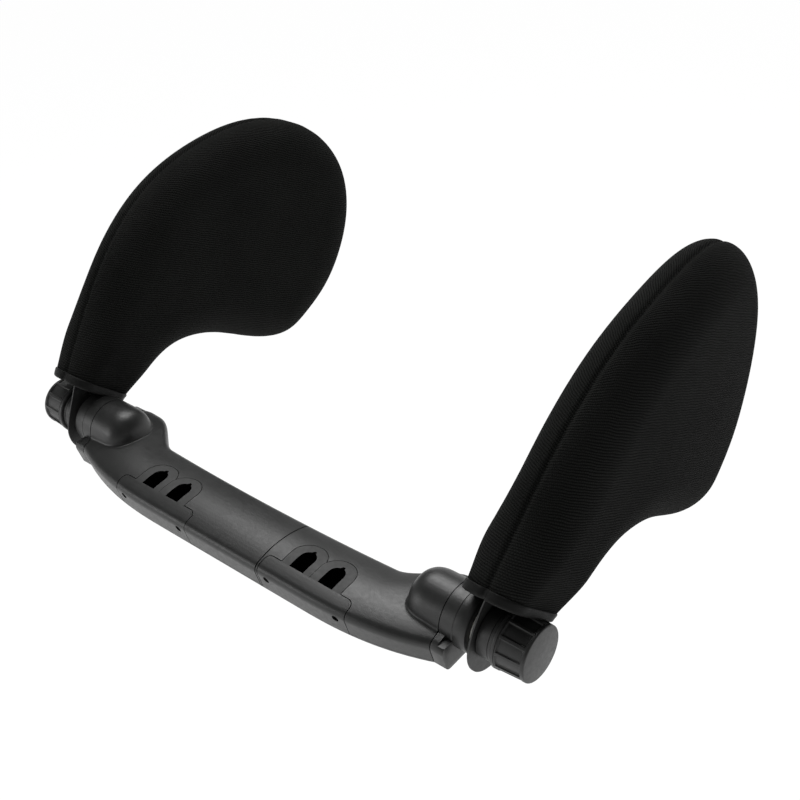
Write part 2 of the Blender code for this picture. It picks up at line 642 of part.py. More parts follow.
def build_pad(side_name, side, body):
    """The cover, the elastic band that binds its mouth, and the foam, with a pocket for the arm."""
    stations = [COVER_START + (1 - COVER_START) * i / (PAD_STATIONS - 1) for i in range(PAD_STATIONS)]
    skin = bag(pad_rings(side, stations, PAD_ACROSS, 0.0, 0.0),
               pad_rings(side, stations[:-1], PAD_ACROSS, COVER_THICK + 1.2, COVER_THICK), True)
    finish(skin, f"{side_name}_pad_cover", "cover", body)
    band = (0.0, COVER_START - 0.0025)
    cuff = bag(pad_rings(side, band, PAD_ACROSS, 0.0, -0.3),
               pad_rings(side, band, PAD_ACROSS, 2.4, 2.0), False)
    finish(cuff, f"{side_name}_cuff_band", "binding", body)
    foam = loft("foam", pad_rings(side, stations[1:-2], PAD_ACROSS, COVER_THICK + 3.0, COVER_THICK + 0.9))
    cut(foam, arm_plate(side, GAP + 0.2))
    finish(foam, f"{side_name}_pad_foam", "foam", body)


def arm_plate(side, grow=0.0):
    """The arm: a plate that leaves the hub, steps outward and widens into a paddle inside the pad."""
    steps = 16
    spine = spline(ARM_SPINE, steps)
    rings = []
    for i, centre in enumerate(spine):
        ahead = spine[min(i + 1, steps - 1)] - spine[max(i - 1, 0)]
        across = Vector((-ahead.y, ahead.x)).normalized()
        share = i / (steps - 1) * (len(ARM_HALF) - 1)
        k = min(int(share), len(ARM_HALF) - 2)
        half = ARM_HALF[k] + (ARM_HALF[k + 1] - ARM_HALF[k]) * smoothstep(share - k) + grow
        hub_mid = (HUB_IN + HUB_OUT) / 2
        step_out = smoothstep((i / (steps - 1) - 0.02) / 0.30)
        middle = hub_mid + (pad_mid(centre.x) - hub_mid) * step_out
        thick = (HUB_OUT - HUB_IN) / 2 + (2.4 - (HUB_OUT - HUB_IN) / 2) * step_out + grow
        ring = []
        edge = 1.6
        section = [(-half, -thick, edge), (half, -thick, edge), (half, thick, edge), (-half, thick, edge)]
        for u, v in rounded(section, 1):
            point = centre + across * u
            ring.append((side * (middle + v), point.x, point.y))
        rings.append(ring)
    if grow:
        direction = (spine[-1] - spine[-2]).normalized() * grow * 2
        rings[-1] = [(x, y + direction.x, z + direction.y) for x, y, z in rings[-1]]
    return loft("arm", rings)


def build_wing(side_name, side, body):
    arm = arm_plate(side)
    edge = 1.2
    hub = [(HUB_IN, HUB_R - edge), (HUB_IN + edge, HUB_R), (HUB_OUT - edge, HUB_R), (HUB_OUT, HUB_R - edge)]
    join(arm, turned(hub, side, centre=(AXIS_Y, AXIS_Z - HUB_DROP)))
    cut(arm, turned([(HUB_OUT - RECESS_DEPTH, RECESS_R), (HUB_OUT + 12, RECESS_R)], side))
    cut(arm, turned([(HUB_IN - 4, BUSH_R + GAP), (HUB_OUT + 4, BUSH_R + GAP)], side, steps=16))
    finish(arm, f"{side_name}_arm", "housing", body)
    bush = turned([(HUB_IN + 0.1, BUSH_R), (HUB_OUT - RECESS_DEPTH - 0.1, BUSH_R)], side, steps=16)
    cut(bush, turned([(HUB_IN - 3, BOLT_R + GAP), (HUB_OUT, BOLT_R + GAP)], side, steps=16))
    finish(bush, f"{side_name}_hinge_bush", "brass", body)
    build_pad(side_name, side, body)


# ---------------------------------------------------------------- assembly

def main():
    clear_scene()
    axis = (0, AXIS_Y, AXIS_Z)
    bodies = {name: body_empty(f"{name}_body", (0, 0, 0)) for name in ("bar", "sliding_half")}
    build_bar(bodies)
    build_sleeve(bodies["sliding_half"], bodies["bar"])
    for side_name, side in SIDES.items():
        half = bodies["bar" if side < 0 else "sliding_half"]
        door = body_empty(f"{side_name}_door_body", (0, 0, 0))
        wing = body_empty(f"{side_name}_wing_body", (side * COLLAR_END, *axis[1:]))
        knob = body_empty(f"{side_name}_knob_body", (side * KNOB_START, *axis[1:]))
        build_door(side_name, side, door)
        build_hinge(side_name, side, half)
        build_wing(side_name, side, wing)
        build_knob(side_name, side, knob, knob)


main()
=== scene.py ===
"""Looks for the clamp-on headrest side supports: moulded bar, fluted knobs, knitted pads.

Lengths are in millimetres, and MM turns them into metres. X runs along the bar, Y towards the tips of
the wings, Z up the headrest posts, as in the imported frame."""

import json
import math

import bmesh
import bpy
import numpy as np
from mathutils import Matrix, Vector

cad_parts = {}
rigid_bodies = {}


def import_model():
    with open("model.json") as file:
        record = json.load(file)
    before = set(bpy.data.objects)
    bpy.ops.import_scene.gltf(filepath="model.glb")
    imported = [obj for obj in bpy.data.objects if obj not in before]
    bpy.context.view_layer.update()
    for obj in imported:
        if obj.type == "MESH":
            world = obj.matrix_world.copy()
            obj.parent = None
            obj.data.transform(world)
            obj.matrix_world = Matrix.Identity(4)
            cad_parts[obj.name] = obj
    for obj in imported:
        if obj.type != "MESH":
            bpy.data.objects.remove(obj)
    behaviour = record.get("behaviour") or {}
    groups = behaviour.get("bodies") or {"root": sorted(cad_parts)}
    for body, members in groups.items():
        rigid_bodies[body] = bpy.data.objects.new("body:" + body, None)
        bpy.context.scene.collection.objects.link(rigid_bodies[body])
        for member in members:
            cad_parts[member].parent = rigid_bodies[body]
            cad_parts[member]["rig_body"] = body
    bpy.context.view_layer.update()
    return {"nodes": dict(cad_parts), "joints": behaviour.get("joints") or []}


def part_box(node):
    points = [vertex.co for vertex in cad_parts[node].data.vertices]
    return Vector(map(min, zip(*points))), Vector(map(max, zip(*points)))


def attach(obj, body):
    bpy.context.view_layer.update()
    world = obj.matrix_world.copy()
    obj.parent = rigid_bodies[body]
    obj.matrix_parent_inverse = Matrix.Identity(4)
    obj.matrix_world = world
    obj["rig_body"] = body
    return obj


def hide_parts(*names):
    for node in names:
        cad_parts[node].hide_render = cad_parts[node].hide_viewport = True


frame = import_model()

MM = 0.001
SIDES = {"left": -1, "right": 1}
HALVES = {"left": "bar", "right": "sliding_half"}


def span(node):
    """A CAD node's lowest and highest corner, in millimetres."""
    low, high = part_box(node)
    return low / MM, high / MM


def hinge_axis():
    joint = next(j for j in frame["joints"] if j["name"] == "right_wing_tilt")
    return joint["pos_m"][1] / MM, joint["pos_m"][2] / MM


# -------- driving dimensions

GAP = 0.3
AXIS_Y, AXIS_Z = hinge_axis()
HALF_HEIGHT = -span("left_lower_shell")[0].z
BAR_END = span("right_upper_shell")[1].x
SEAM_LEFT, SEAM_RIGHT = span("left_upper_shell")[1].x, span("right_upper_shell")[0].x
PART_LOW, PART_HIGH = span("left_lower_shell")[1].z, span("left_upper_shell")[0].z
SLEEVE_LOW, SLEEVE_HIGH = span("sliding_sleeve")
COLLAR_END = span("right_end_cap")[1].x
KNOB_START, KNOB_END = span("right_knob")[0].x, span("right_knob")[1].x
SPACER_START, SPACER_END = span("right_spacer")[0].x, span("right_spacer")[1].x
DOOR_LOW, DOOR_HIGH = span("right_clamp_door")
BOSS_R = span("right_upper_shell")[1].z - AXIS_Z

WALL, BULKHEAD = 2.2, 2.5
FAR_X, FAR_Y, FAR_Z = 200, 80, 60  # past the bar on every side
FRONT_Y, REAR_Y = -21.0, 26.2
CROWN_TOP, CROWN_FALL = 12.8, 6.7  # highest line of the domed top, and its fall to the rear edge
CROWN_BACK, CROWN_REACH = 20.0, 26.5  # from the front face to the highest line; run of the full fall
SEAM = 0.2  # taken off both sides of a joint, so that it reads as a fine dark line
CORE_Z = 3.0  # cross-sections of the bar are measured round a line at this height
FILLET = 3.0  # blend between the hood and the bar's top

SLOT_X, SLOT_HALF = (53.1, 75.0), 5.3
SLOT_STRAIGHT_Y, SLOT_ARCH = -0.5, 5.9
SLOT_NUB = ((1.4, 5.2), (0.8, 6.9))
LINER_RADIUS, LINER_SPRING_Y, LINER_LINE = 11.4, 0.1, 0.22
DOOR_CORNER = 3.75
DOOR_SCREW_X, DOOR_SCREW_Z, DOOR_HEAD_R, DOOR_HOLE_R = (37.6, 89.9), 3.3, 1.9, 1.5
DOOR_POCKET_Y, DOOR_SEAT_Y = -15.4, -15.5  # front of the hollow behind the door, and of its screws' seats
BOSS_HALF, BOSS_REAR_Y, BOSS_LOW = 3.5, 2.0, -0.5  # blocks in the upper shell that take the door screws

NOSE_START, NOSE_TIP, NOSE_POWER = 134.0, 117.5, 2.6
SPIGOT_START, SPIGOT_R = 131.0, 15.1
BOLT_R, BUSH_R = 3.9, 5.6
CAP_START, CAP_BLOCK_END, CAP_STEP_X, CAP_STEP_Z = BAR_END + 0.35, 154.7, 150.4, 8.2
HUB_IN, HUB_OUT, HUB_R, HUB_DROP = COLLAR_END + 1.6, 170.2, 21.0, 5.0
RECESS_R, RECESS_DEPTH = 17.6, 2.0
SPACER_R = 15.6
KNOB_R_IN, KNOB_R_OUT, KNOB_PANELS, KNOB_EDGE = 17.4, 16.2, 11, 0.9
NUT_R, NUT_POCKET_END, KNOB_BORE_END = 7.7, 187.0, 191.0
SCREW_R, SCREW_HEAD_R, SCREW_SEAT = 1.3, 2.7, 1.6

PAD_EDGE, MOUTH_EDGE, MOUTH_THICKNESS = 30.5, 13.0, 0.80
PAD_INNER, PAD_OUTER, PAD_MID_X = 22.6, 21.9, 180.3
PAD_OUTLINE = [(7.2, 44.5), (37.5, 80.2), (70.1, 112.3), (113.2, 138.1), (164.2, 149.3), (218.1, 145.8),
               (257.1, 123.7), (276.8, 89.2), (276.7, 50.4), (264.7, 20.1), (244.9, -5), (223.4, -19.4),
               (204, -26.4), (177.7, -19.1), (137, 7), (96.6, 19.8), (43.6, 8.2)]  # (y, z), mouth to mouth
PAD_TIP = 0.53
ARM_SPINE = [(18.85, 5.8), (25, 24), (38, 42), (66, 62)]
ARM_HALF = [21.0, 17.0, 17.0, 17.5]


# -------- mesh tools

def mesh_object(name, points, faces):
    """An object from points in millimetres, its faces turned outward."""
    mesh = bpy.data.meshes.new(name)
    mesh.from_pydata((np.asarray(points, float) * MM).tolist(), [], faces)
    shape = bmesh.new()
    shape.from_mesh(mesh)
    bmesh.ops.recalc_face_normals(shape, faces=shape.faces)
    shape.to_mesh(mesh)
    shape.free()
    obj = bpy.data.objects.new(name, mesh)
    bpy.context.scene.collection.objects.link(obj)
    return obj


def grid_faces(rows, count):
    """Quads between successive closed rings of count points each."""
    faces = []
    for i in range(rows - 1):
        for j in range(count):
            k = (j + 1) % count
            faces.append((i * count + j, i * count + k, (i + 1) * count + k, (i + 1) * count + j))
    return faces


def loft(name, rings):
    """A closed solid through rings of equal count, with flat ends."""
    count = len(rings[0])
    faces = grid_faces(len(rings), count)
    faces.append(tuple(range(count)))
    faces.append(tuple((len(rings) - 1) * count + j for j in range(count)))
    return mesh_object(name, np.concatenate(rings), faces)


def box(low, high):
    corners = [(x, y, z) for x in (low[0], high[0]) for y in (low[1], high[1]) for z in (low[2], high[2])]
    faces = [(0, 1, 3, 2), (4, 5, 7, 6), (0, 1, 5, 4), (2, 3, 7, 6), (0, 2, 6, 4), (1, 3, 7, 5)]
    return mesh_object("box", corners, faces)


def side_box(side, near, far, y, z):
    """A box on one side of the middle, from near to far along X."""
    low, high = sorted((side * near, side * far))
    return box((low, y[0], z[0]), (high, y[1], z[1]))


def prism(outline, low, high):
    """An outline of the XY plane, drawn out along Z."""
    return loft("prism", [[(x, y, z) for x, y in outline] for z in (low, high)])


def turned(profile, side, steps=96):
    """A solid turned about the hinge's axis: profile holds (distance from the bar's middle, radius)."""
    a = np.linspace(0, 2 * math.pi, steps, endpoint=False)
    return loft("turned", [np.c_[np.full(steps, side * x), AXIS_Y + r * np.cos(a), AXIS_Z + r * np.sin(a)]
                           for x, r in profile])


def along(axis, centre, profile, steps=32):
    """A solid turned about a line along Y or Z: centre is (x, z) or (x, y), and profile holds
    (place on the line, radius)."""
    a = np.linspace(0, 2 * math.pi, steps, endpoint=False)
    rings = []
    for t, r in profile:
        u, v, w = centre[0] + r * np.cos(a), centre[1] + r * np.sin(a), np.full(steps, t)
        rings.append(np.c_[u, v, w] if axis == "Z" else np.c_[u, w, v])
    return loft("along", rings)


def measure(mesh):
    """A closed mesh's volume in cubic metres, or nothing when the mesh isn't closed."""
    shape = bmesh.new()
    shape.from_mesh(mesh)
    closed = all(edge.is_manifold for edge in shape.edges)
    volume = shape.calc_volume(signed=True) if closed else None
    shape.free()
    return volume


NUDGES = ((0, 0, 0), (0.004, 0.003, 0.002), (-0.003, 0.005, -0.004), (0.006, -0.004, 0.003),
          (-0.007, -0.006, 0.005))
VOLUME_LIMITS = {"UNION": (0.999, 9), "DIFFERENCE": (0.1, 1.001), "INTERSECT": (0.001, 1.001)}


def boolean(target, operation, *others):
    """Cuts or joins closed solids. Where the result is open, or its volume is outside the limits, as
    happens with faces that nearly coincide, the other solid is moved by a few thousandths of a
    millimetre and tried again."""
    low, high = VOLUME_LIMITS[operation]
    for other in others:
        before, best = measure(target.data), None
        for nudge in NUDGES:
            other.location = Vector(nudge) * MM
            step = target.modifiers.new(operation, "BOOLEAN")
            step.operation = operation
            step.solver = "EXACT"
            step.object = other
            bpy.context.view_layer.update()
            worked = target.evaluated_get(bpy.context.evaluated_depsgraph_get())
            result = bpy.data.meshes.new_from_object(worked)
            target.modifiers.clear()
            volume = measure(result)
            share = volume / before if volume and before else 0
            if low < share < high:
                best = result
                break
            best = best or result
        else:
            print("BOOLEAN", operation, target.name, "left open or empty")
        target.data = best
        bpy.data.objects.remove(other, do_unlink=True)
    return target


def cut(target, *others):
    return boolean(target, "DIFFERENCE", *others)


def join(target, *others):
    return boolean(target, "UNION", *others)


def keep(target, *others):
    return boolean(target, "INTERSECT", *others)


def bevel(obj, width):
    """A rounded edge wherever faces meet at a clear angle."""
    step = obj.modifiers.new("edge", "BEVEL")
    step.width = width * MM
    step.segments = 2
    step.limit_method = "ANGLE"
    step.angle_limit = math.radians(50)


def finish(obj, name, body, look, node, sharp=32):
    """Names a piece, shades it, gives it its material and hangs it on its CAD body, in the place of
    the CAD node."""
    obj.name = name
    obj.data.name = name
    obj.data.materials.clear()
    obj.data.materials.append(LOOKS[look])
    for polygon in obj.data.polygons:
        polygon.material_index = 0
    obj.data.shade_smooth()
    if sharp:
        obj.data.set_sharp_from_angle(angle=math.radians(sharp))
    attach(obj, body)
    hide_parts(node)
    return obj


def smoothstep(t):
    """0 to 1 with level ends."""
    t = np.clip(t, 0.0, 1.0)
    return t * t * (3 - 2 * t)


def rounded(corners, steps=10):
    """A closed outline from (u, v, radius) corners, each radius drawn as an arc."""
    outline = []
    for i, (u, v, radius) in enumerate(corners):
        here = Vector((u, v))
        back = (Vector(corners[i - 1][:2]) - here).normalized()
        ahead = (Vector(corners[(i + 1) % len(corners)][:2]) - here).normalized()
        if radius <= 0:
            outline.append((u, v))
            continue
        half = back.angle(ahead) / 2
        centre = here + (back + ahead).normalized() * radius / math.sin(half)
        start = here + back * radius / math.tan(half) - centre
        sweep = math.pi - 2 * half
        turn = math.copysign(1, start.x * (here - centre).y - start.y * (here - centre).x)
        for step in range(steps + 1):
            a = turn * sweep * step / steps
            outline.append((centre.x + start.x * math.cos(a) - start.y * math.sin(a),
                            centre.y + start.x * math.sin(a) + start.y * math.cos(a)))
    return outline


def dense(outline, pieces):
    """The closed outline with every straight run divided into short pieces."""
    points = np.array(outline, float)
    ahead = np.roll(points, -1, axis=0)
    share = np.linspace(0, 1, pieces, endpoint=False)[None, :, None]
    return (points[:, None] * (1 - share) + ahead[:, None] * share).reshape(-1, 2)


CURVE_STEPS = 2400


def spline(points, count):
    """Points at even spacing along the natural cubic curve through the given ones."""
    given = np.array(points, float)
    knots = np.concatenate([[0], np.cumsum(np.linalg.norm(np.diff(given, axis=0), axis=1))])
    gaps, total = np.diff(knots), len(given)
    system, slopes = np.eye(total), np.zeros_like(given)
    for i in range(1, total - 1):
        system[i, i - 1:i + 2] = gaps[i - 1], 2 * (gaps[i - 1] + gaps[i]), gaps[i]
        slopes[i] = 6 * ((given[i + 1] - given[i]) / gaps[i] - (given[i] - given[i - 1]) / gaps[i - 1])
    bend = np.linalg.solve(system, slopes)
    places = np.linspace(0, knots[-1], CURVE_STEPS + 1)
    k = np.clip(np.searchsorted(knots, places, side="right") - 1, 0, total - 2)
    h, left, right = gaps[k, None], (places - knots[k])[:, None], (knots[k + 1] - places)[:, None]
    curve = ((bend[k] * right ** 3 + bend[k + 1] * left ** 3) / (6 * h)
             + (given[k] / h - bend[k] * h / 6) * right + (given[k + 1] / h - bend[k + 1] * h / 6) * left)
    length = np.concatenate([[0], np.cumsum(np.linalg.norm(np.diff(curve, axis=0), axis=1))])
    goals = np.linspace(0, length[-1], count)
    return np.c_[np.interp(goals, length, curve[:, 0]), np.interp(goals, length, curve[:, 1])]


# -------- materials

def new_material(name, colour, roughness, metallic=0.0, **sockets):
    """A Principled material; sockets are further values by name, with _ for a space."""
    made = bpy.data.materials.new(name)
    made.use_nodes = True
    shader = made.node_tree.nodes["Principled BSDF"]
    shader.inputs["Base Color"].default_value = (*colour, 1)
    shader.inputs["Roughness"].default_value = roughness
    shader.inputs["Metallic"].default_value = metallic
    for key, value in sockets.items():
        shader.inputs[key.replace("_", " ")].default_value = value
    return made


class Nodes:
    """Short ways to add and link shader nodes."""

    def __init__(self, material):
        self.tree = material.node_tree
        self.shader = self.tree.nodes["Principled BSDF"]

    def add(self, kind, **settings):
        node = self.tree.nodes.new("ShaderNode" + kind)
        for key, value in settings.items():
            setattr(node, key, value)
        return node

    def link(self, source, target):
        self.tree.links.new(source, target)

    def place(self):
        return self.add("TexCoord").outputs["Object"]

    def noise(self, scale, detail=2.0, rough=0.5, vector=None):
        node = self.add("TexNoise")
        node.inputs["Scale"].default_value = scale
        node.inputs["Detail"].default_value = detail
        node.inputs["Roughness"].default_value = rough
        self.link(vector or self.place(), node.inputs["Vector"])
        return node.outputs["Fac"]

    def spread(self, value, low, high, source=(0.3, 0.7)):
        """value mapped from the source range to low..high."""
        node = self.add("MapRange")
        for key, number in zip(("From Min", "From Max", "To Min", "To Max"), (*source, low, high)):
            node.inputs[key].default_value = number
        self.link(value, node.inputs["Value"])
        return node.outputs["Result"]

    def math(self, operation, a, b=None):
        node = self.add("Math", operation=operation)
        for socket, value in zip(node.inputs, (a, b)):
            if value is None:
                continue
            if isinstance(value, (int, float)):
                socket.default_value = value
            else:
                self.link(value, socket)
        return node.outputs[0]

    def blend(self, factor, dark, light):
        node = self.add("MixRGB")
        node.inputs["Color1"].default_value = (*dark, 1)
        node.inputs["Color2"].default_value = (*light, 1)
        self.link(factor, node.inputs["Fac"])
        return node.outputs["Color"]

    def bump(self, height, distance, strength):
        node = self.add("Bump")
        node.inputs["Distance"].default_value = distance * MM
        node.inputs["Strength"].default_value = strength
        self.link(height, node.inputs["Height"])
        return node.outputs["Normal"]

    def set(self, socket, value):
        self.link(value, self.shader.inputs[socket])


def scaled(colour, share):
    """A darker or lighter shade of a colour."""
    return tuple(c * share for c in colour)


def moulded(name, colour, roughness, grain, painted_wall_shade=False):
    """Moulded plastic: fine sparked grain, faint mottling, and convex edges made lighter in colour as a
    painted highlight. With the wall-shade flag the upright faces are painted black and dull instead:
    painted shade, as in deep slots."""
    made = new_material(name, colour, roughness, Specular_IOR_Level=0.5)
    n = Nodes(made)
    if painted_wall_shade:
        split = n.add("SeparateXYZ")
        n.link(n.add("TexCoord").outputs["Normal"], split.inputs[0])
        # Painted shade: faces that stand upright get a near-black base colour and less specular, as slot
        # walls in shadow.
        level = n.spread(n.math("ABSOLUTE", split.outputs["Z"]), 0.0, 1.0, (0.25, 0.6))
        n.set("Base Color", n.blend(level, scaled(colour, 0.08), colour))
        n.set("Specular IOR Level", n.math("MULTIPLY", level, 0.5))
    else:
        mottle = n.spread(n.noise(90, 3.0), 0.0, 1.0)
        # Painted highlight: convex edges, found by pointiness, are made lighter in colour; below, this is
        # joined with the random mottling.
        worn = n.spread(n.add("NewGeometry").outputs["Pointiness"], 0.0, 1.0, (0.52, 0.62))
        shade = n.math("MAXIMUM", n.math("MULTIPLY", mottle, 0.6), worn)
        n.set("Base Color", n.blend(shade, scaled(colour, 0.9), scaled(colour, 1.25)))
    n.set("Roughness", n.spread(n.noise(420, 2.0), roughness - 0.04, roughness + 0.05))
    fine = n.noise(2600, 2.0, 0.6)
    coarse = n.noise(900, 1.0)
    height = n.math("ADD", n.math("MULTIPLY", fine, 0.7), n.math("MULTIPLY", coarse, 0.5))
    n.set("Normal", n.bump(height, 0.09, grain))
    return made


def metal(name, colour, roughness, streak):
    """Plated or turned metal with faint noise in its colour, roughness and surface."""
    made = new_material(name, colour, roughness, 1.0)
    n = Nodes(made)
    n.set("Roughness", n.spread(n.noise(800, 4.0, 0.7), roughness - 0.08, roughness + 0.12))
    n.set("Base Color", n.blend(n.noise(300, 3.0), scaled(colour, 0.8), colour))
    n.set("Normal", n.bump(n.noise(3000, 2.0), 0.03, streak))
    return made


def knit(name, colour, pitch, along_pitch, relief):
    """Stretch knit: raised ribs with a row of small loops on each. The weave attribute holds the place
    on the flat panel, in millimetres: X along the ribs, Y across them."""
    made = new_material(name, colour, 0.88, Sheen_Weight=0.008, Sheen_Roughness=0.4,
                        Specular_IOR_Level=0.04)
    made.node_tree.nodes["Principled BSDF"].inputs["Sheen Tint"].default_value = (0.8, 0.82, 0.85, 1)
    n = Nodes(made)
    place = n.add("Attribute", attribute_name="weave").outputs["Vector"]
    split = n.add("SeparateXYZ")
    n.link(place, split.inputs[0])
    wobble = n.spread(n.noise(0.09, 2.0, 0.5, place), -0.5, 0.5)
    across = n.math("ADD", split.outputs["Y"], wobble)
    phase = n.math("DIVIDE", across, pitch)
    row = n.math("FLOOR", phase)
    rib = n.math("ABSOLUTE", n.math("SINE", n.math("MULTIPLY", phase, math.pi)))
    shift = n.math("MULTIPLY", n.math("MODULO", row, 2.0), 0.5)
    stitch_phase = n.math("ADD", n.math("DIVIDE", split.outputs["X"], along_pitch), shift)
    stitch = n.math("ABSOLUTE", n.math("SINE", n.math("MULTIPLY", stitch_phase, math.pi)))
    loops = n.math("MULTIPLY", rib, n.math("ADD", n.math("MULTIPLY", stitch, 0.45), 0.55))
    fuzz = n.noise(4200, 2.0, 0.7)
    height = n.math("ADD", loops, n.math("MULTIPLY", fuzz, 0.25))
    n.set("Normal", n.bump(height, relief, 0.9))
    # Painted shade and highlight: the base colour is dark in the grooves between the ribs and light on
    # their raised loops, times random patches of tone.
    patchy = n.spread(n.noise(28, 3.0), 0.75, 1.1)
    worn = n.math("MULTIPLY", loops, patchy)
    n.set("Base Color", n.blend(worn, scaled(colour, 0.35), scaled(colour, 1.7)))
    return made


def tape(name, colour):
    """Woven elastic tape: close twill lines with a satin face."""
    made = new_material(name, colour, 0.6, Sheen_Weight=0.01, Sheen_Roughness=0.35,
                        Specular_IOR_Level=0.12)
    n = Nodes(made)
    place = n.add("Attribute", attribute_name="weave").outputs["Vector"]
    split = n.add("SeparateXYZ")
    n.link(place, split.inputs[0])
    slant = n.math("ADD", split.outputs["X"], n.math("MULTIPLY", split.outputs["Y"], 0.7))
    twill = n.math("ABSOLUTE", n.math("SINE", n.math("MULTIPLY", slant, math.pi / 0.55)))
    n.set("Normal", n.bump(n.math("ADD", twill, n.math("MULTIPLY", n.noise(3800, 2.0), 0.3)), 0.10, 0.8))
    n.set("Base Color", n.blend(twill, scaled(colour, 0.7), scaled(colour, 1.25)))
    n.set("Roughness", n.spread(n.noise(120, 2.0), 0.44, 0.6))
    return made


def open_foam(name, colour):
    """Open-celled foam."""
    made = new_material(name, colour, 0.95)
    n = Nodes(made)
    cells = n.add("TexVoronoi")
    cells.inputs["Scale"].default_value = 900
    n.link(n.place(), cells.inputs["Vector"])
    n.set("Normal", n.bump(cells.outputs["Distance"], 0.5, 0.8))
    n.set("Base Color", n.blend(cells.outputs["Distance"], scaled(colour, 0.5), scaled(colour, 1.2)))
    return made


LOOKS = {
    "housing": moulded("moulded_charcoal", (0.021, 0.0215, 0.021), 0.39, 0.55),
    "liner": moulded("moulded_liner", (0.020, 0.0205, 0.020), 0.55, 0.8, painted_wall_shade=True),
    "knob": moulded("moulded_knob", (0.020, 0.0205, 0.020), 0.42, 0.5),
    "arm": moulded("moulded_arm", (0.017, 0.0175, 0.017), 0.5, 0.5),
    "steel": metal("plated_steel", (0.52, 0.52, 0.53), 0.32, 0.4),
    "black_steel": metal("blackened_steel", (0.045, 0.045, 0.048), 0.42, 0.5),
    "brass": metal("turned_brass", (0.70, 0.52, 0.26), 0.30, 0.4),
    "nylon": moulded("natural_nylon", (0.78, 0.77, 0.71), 0.45, 0.3),
    "foam": open_foam("grey_foam", (0.10, 0.10, 0.105)),
    "knit": knit("black_knit", (0.0112, 0.0115, 0.0108), 1.5, 1.15, 0.42),
    "tape": tape("elastic_tape", (0.0085, 0.0087, 0.0083)),
}


# -------- bar

def bar_front(x):
    """Y of the bar's front face, which sweeps back towards the ends."""
    return FRONT_Y + 13.5 * max(0.0, (abs(x) - 62) / 84) ** 2.4


def bar_rear(x):
    """Y of the bar's rear face, which swells out round the hinges."""
    swell = 2 * (x / 90) ** 2 + 18.5 * smoothstep((abs(x) - 96) / 36)
    return REAR_Y + swell - 3 * max(0.0, (abs(x) - 139) / 10) ** 2


def bar_top(x, y):
    """Height of the bar's domed top."""
    away = y - bar_front(x) - CROWN_BACK
    reach = CROWN_REACH if away < 0 else bar_rear(x) - bar_front(x) - CROWN_BACK
    return CROWN_TOP - smoothstep((abs(x) - 100) / 46) - CROWN_FALL * (away / reach) ** 2


def bar_section(x, inset=0.0):
    """The bar's outline in the YZ plane at x, drawn in by inset on every side."""
    front, rear, half = bar_front(x) + inset, bar_rear(x) - inset, HALF_HEIGHT - inset
    crown = np.linspace(front + 4.5, rear - 4.5, 17)
    corners = [(front + 3.4, -half, 3.0), (front - 0.2, bar_top(x, front - 0.2) - inset, 5.0)]
    corners += [(y, bar_top(x, y) - inset, 0) for y in crown]
    corners += [(rear, bar_top(x, rear) - inset, 5.5), (rear - 2.5, -half, 4.0)]
    return rounded([(y, z, r and max(r - inset, 0.8)) for y, z, r in corners])


def core_y(x):
    """The middle of the rays that measure a cross-section; it moves under the hood near the bar's end."""
    return 2.0 + (AXIS_Y - 2.0) * smoothstep((abs(x) - 92) / 22)


def polar(outline, centre):
    """Direction and distance of an outline's points from the centre."""
    away = dense(outline, 24) - centre
    return np.arctan2(away[:, 1], away[:, 0]), np.hypot(away[:, 0], away[:, 1])


def ray_angles():
    """Directions of the rays: even steps along the outline, with even angles added for the hood."""
    angle, reach = polar(bar_section(0), np.array((core_y(0), CORE_Z)))
    angle, reach = angle[np.argsort(angle)], reach[np.argsort(angle)]
    x, y = reach * np.cos(angle), reach * np.sin(angle)
    length = np.concatenate([[0], np.cumsum(np.hypot(np.diff(x), np.diff(y)))])
    even = np.interp(np.linspace(0, length[-1], 170, endpoint=False), length, angle)
    regular = np.linspace(-math.pi, math.pi, 110, endpoint=False)
    angles = np.sort(np.concatenate([even, regular]))
    return angles[np.concatenate([[True], np.diff(angles) > math.radians(0.35)])]


RAYS = ray_angles()
DIRECTIONS = np.c_[np.cos(RAYS), np.sin(RAYS)]


def hood_radius(x):
    """The hood's radius: a cylinder with a blunt nose towards the middle of the bar."""
    share = (NOSE_START - abs(x)) / (NOSE_START - NOSE_TIP)
    if share >= 1:
        return 0.0
    return BOSS_R * (1 - max(share, 0.0) ** NOSE_POWER) ** (1 / NOSE_POWER)


def bar_reach(x, inset, with_hood):
    """How far each ray goes to the skin at x. The hood meets the bar's top in a fillet."""
    core = np.array((core_y(x), CORE_Z))
    angle, reach = polar(bar_section(x, inset), core)
    order = np.argsort(angle)
    flat = 1 / np.interp(RAYS, angle[order], 1 / reach[order], period=2 * math.pi)
    radius = hood_radius(x) if with_hood else 0.0
    if radius <= 0:
        return flat
    middle = np.array((AXIS_Y, AXIS_Z - 4.0 * (1 - radius / BOSS_R) ** 2))
    towards = DIRECTIONS @ (middle - core)
    inside = radius ** 2 - np.sum((middle - core) ** 2) + towards ** 2
    round_reach = np.where(inside > 0, towards + np.sqrt(np.maximum(inside, 0)), 0.0)
    meet = np.maximum(FILLET - np.abs(flat - round_reach), 0) / FILLET
    return np.maximum(flat, round_reach) + meet ** 2 * FILLET / 4


def stations(low, high):
    """Places of the cross-sections: close together over the hood's nose, wide apart elsewhere."""
    runs = [(0, 96, 6), (96, 114, 2), (114, 116.5, 0.5), (116.5, 120, 0.22), (120, 124, 0.4),
            (124, 135, 0.9), (135, BAR_END, 1.5)]
    places = np.concatenate([np.arange(*run) for run in runs])
    places = np.concatenate([-places[::-1], places])
    inside = places[(places > low + 0.3) & (places < high - 0.3)]
    return np.unique(np.concatenate([[low], inside, [high]]))


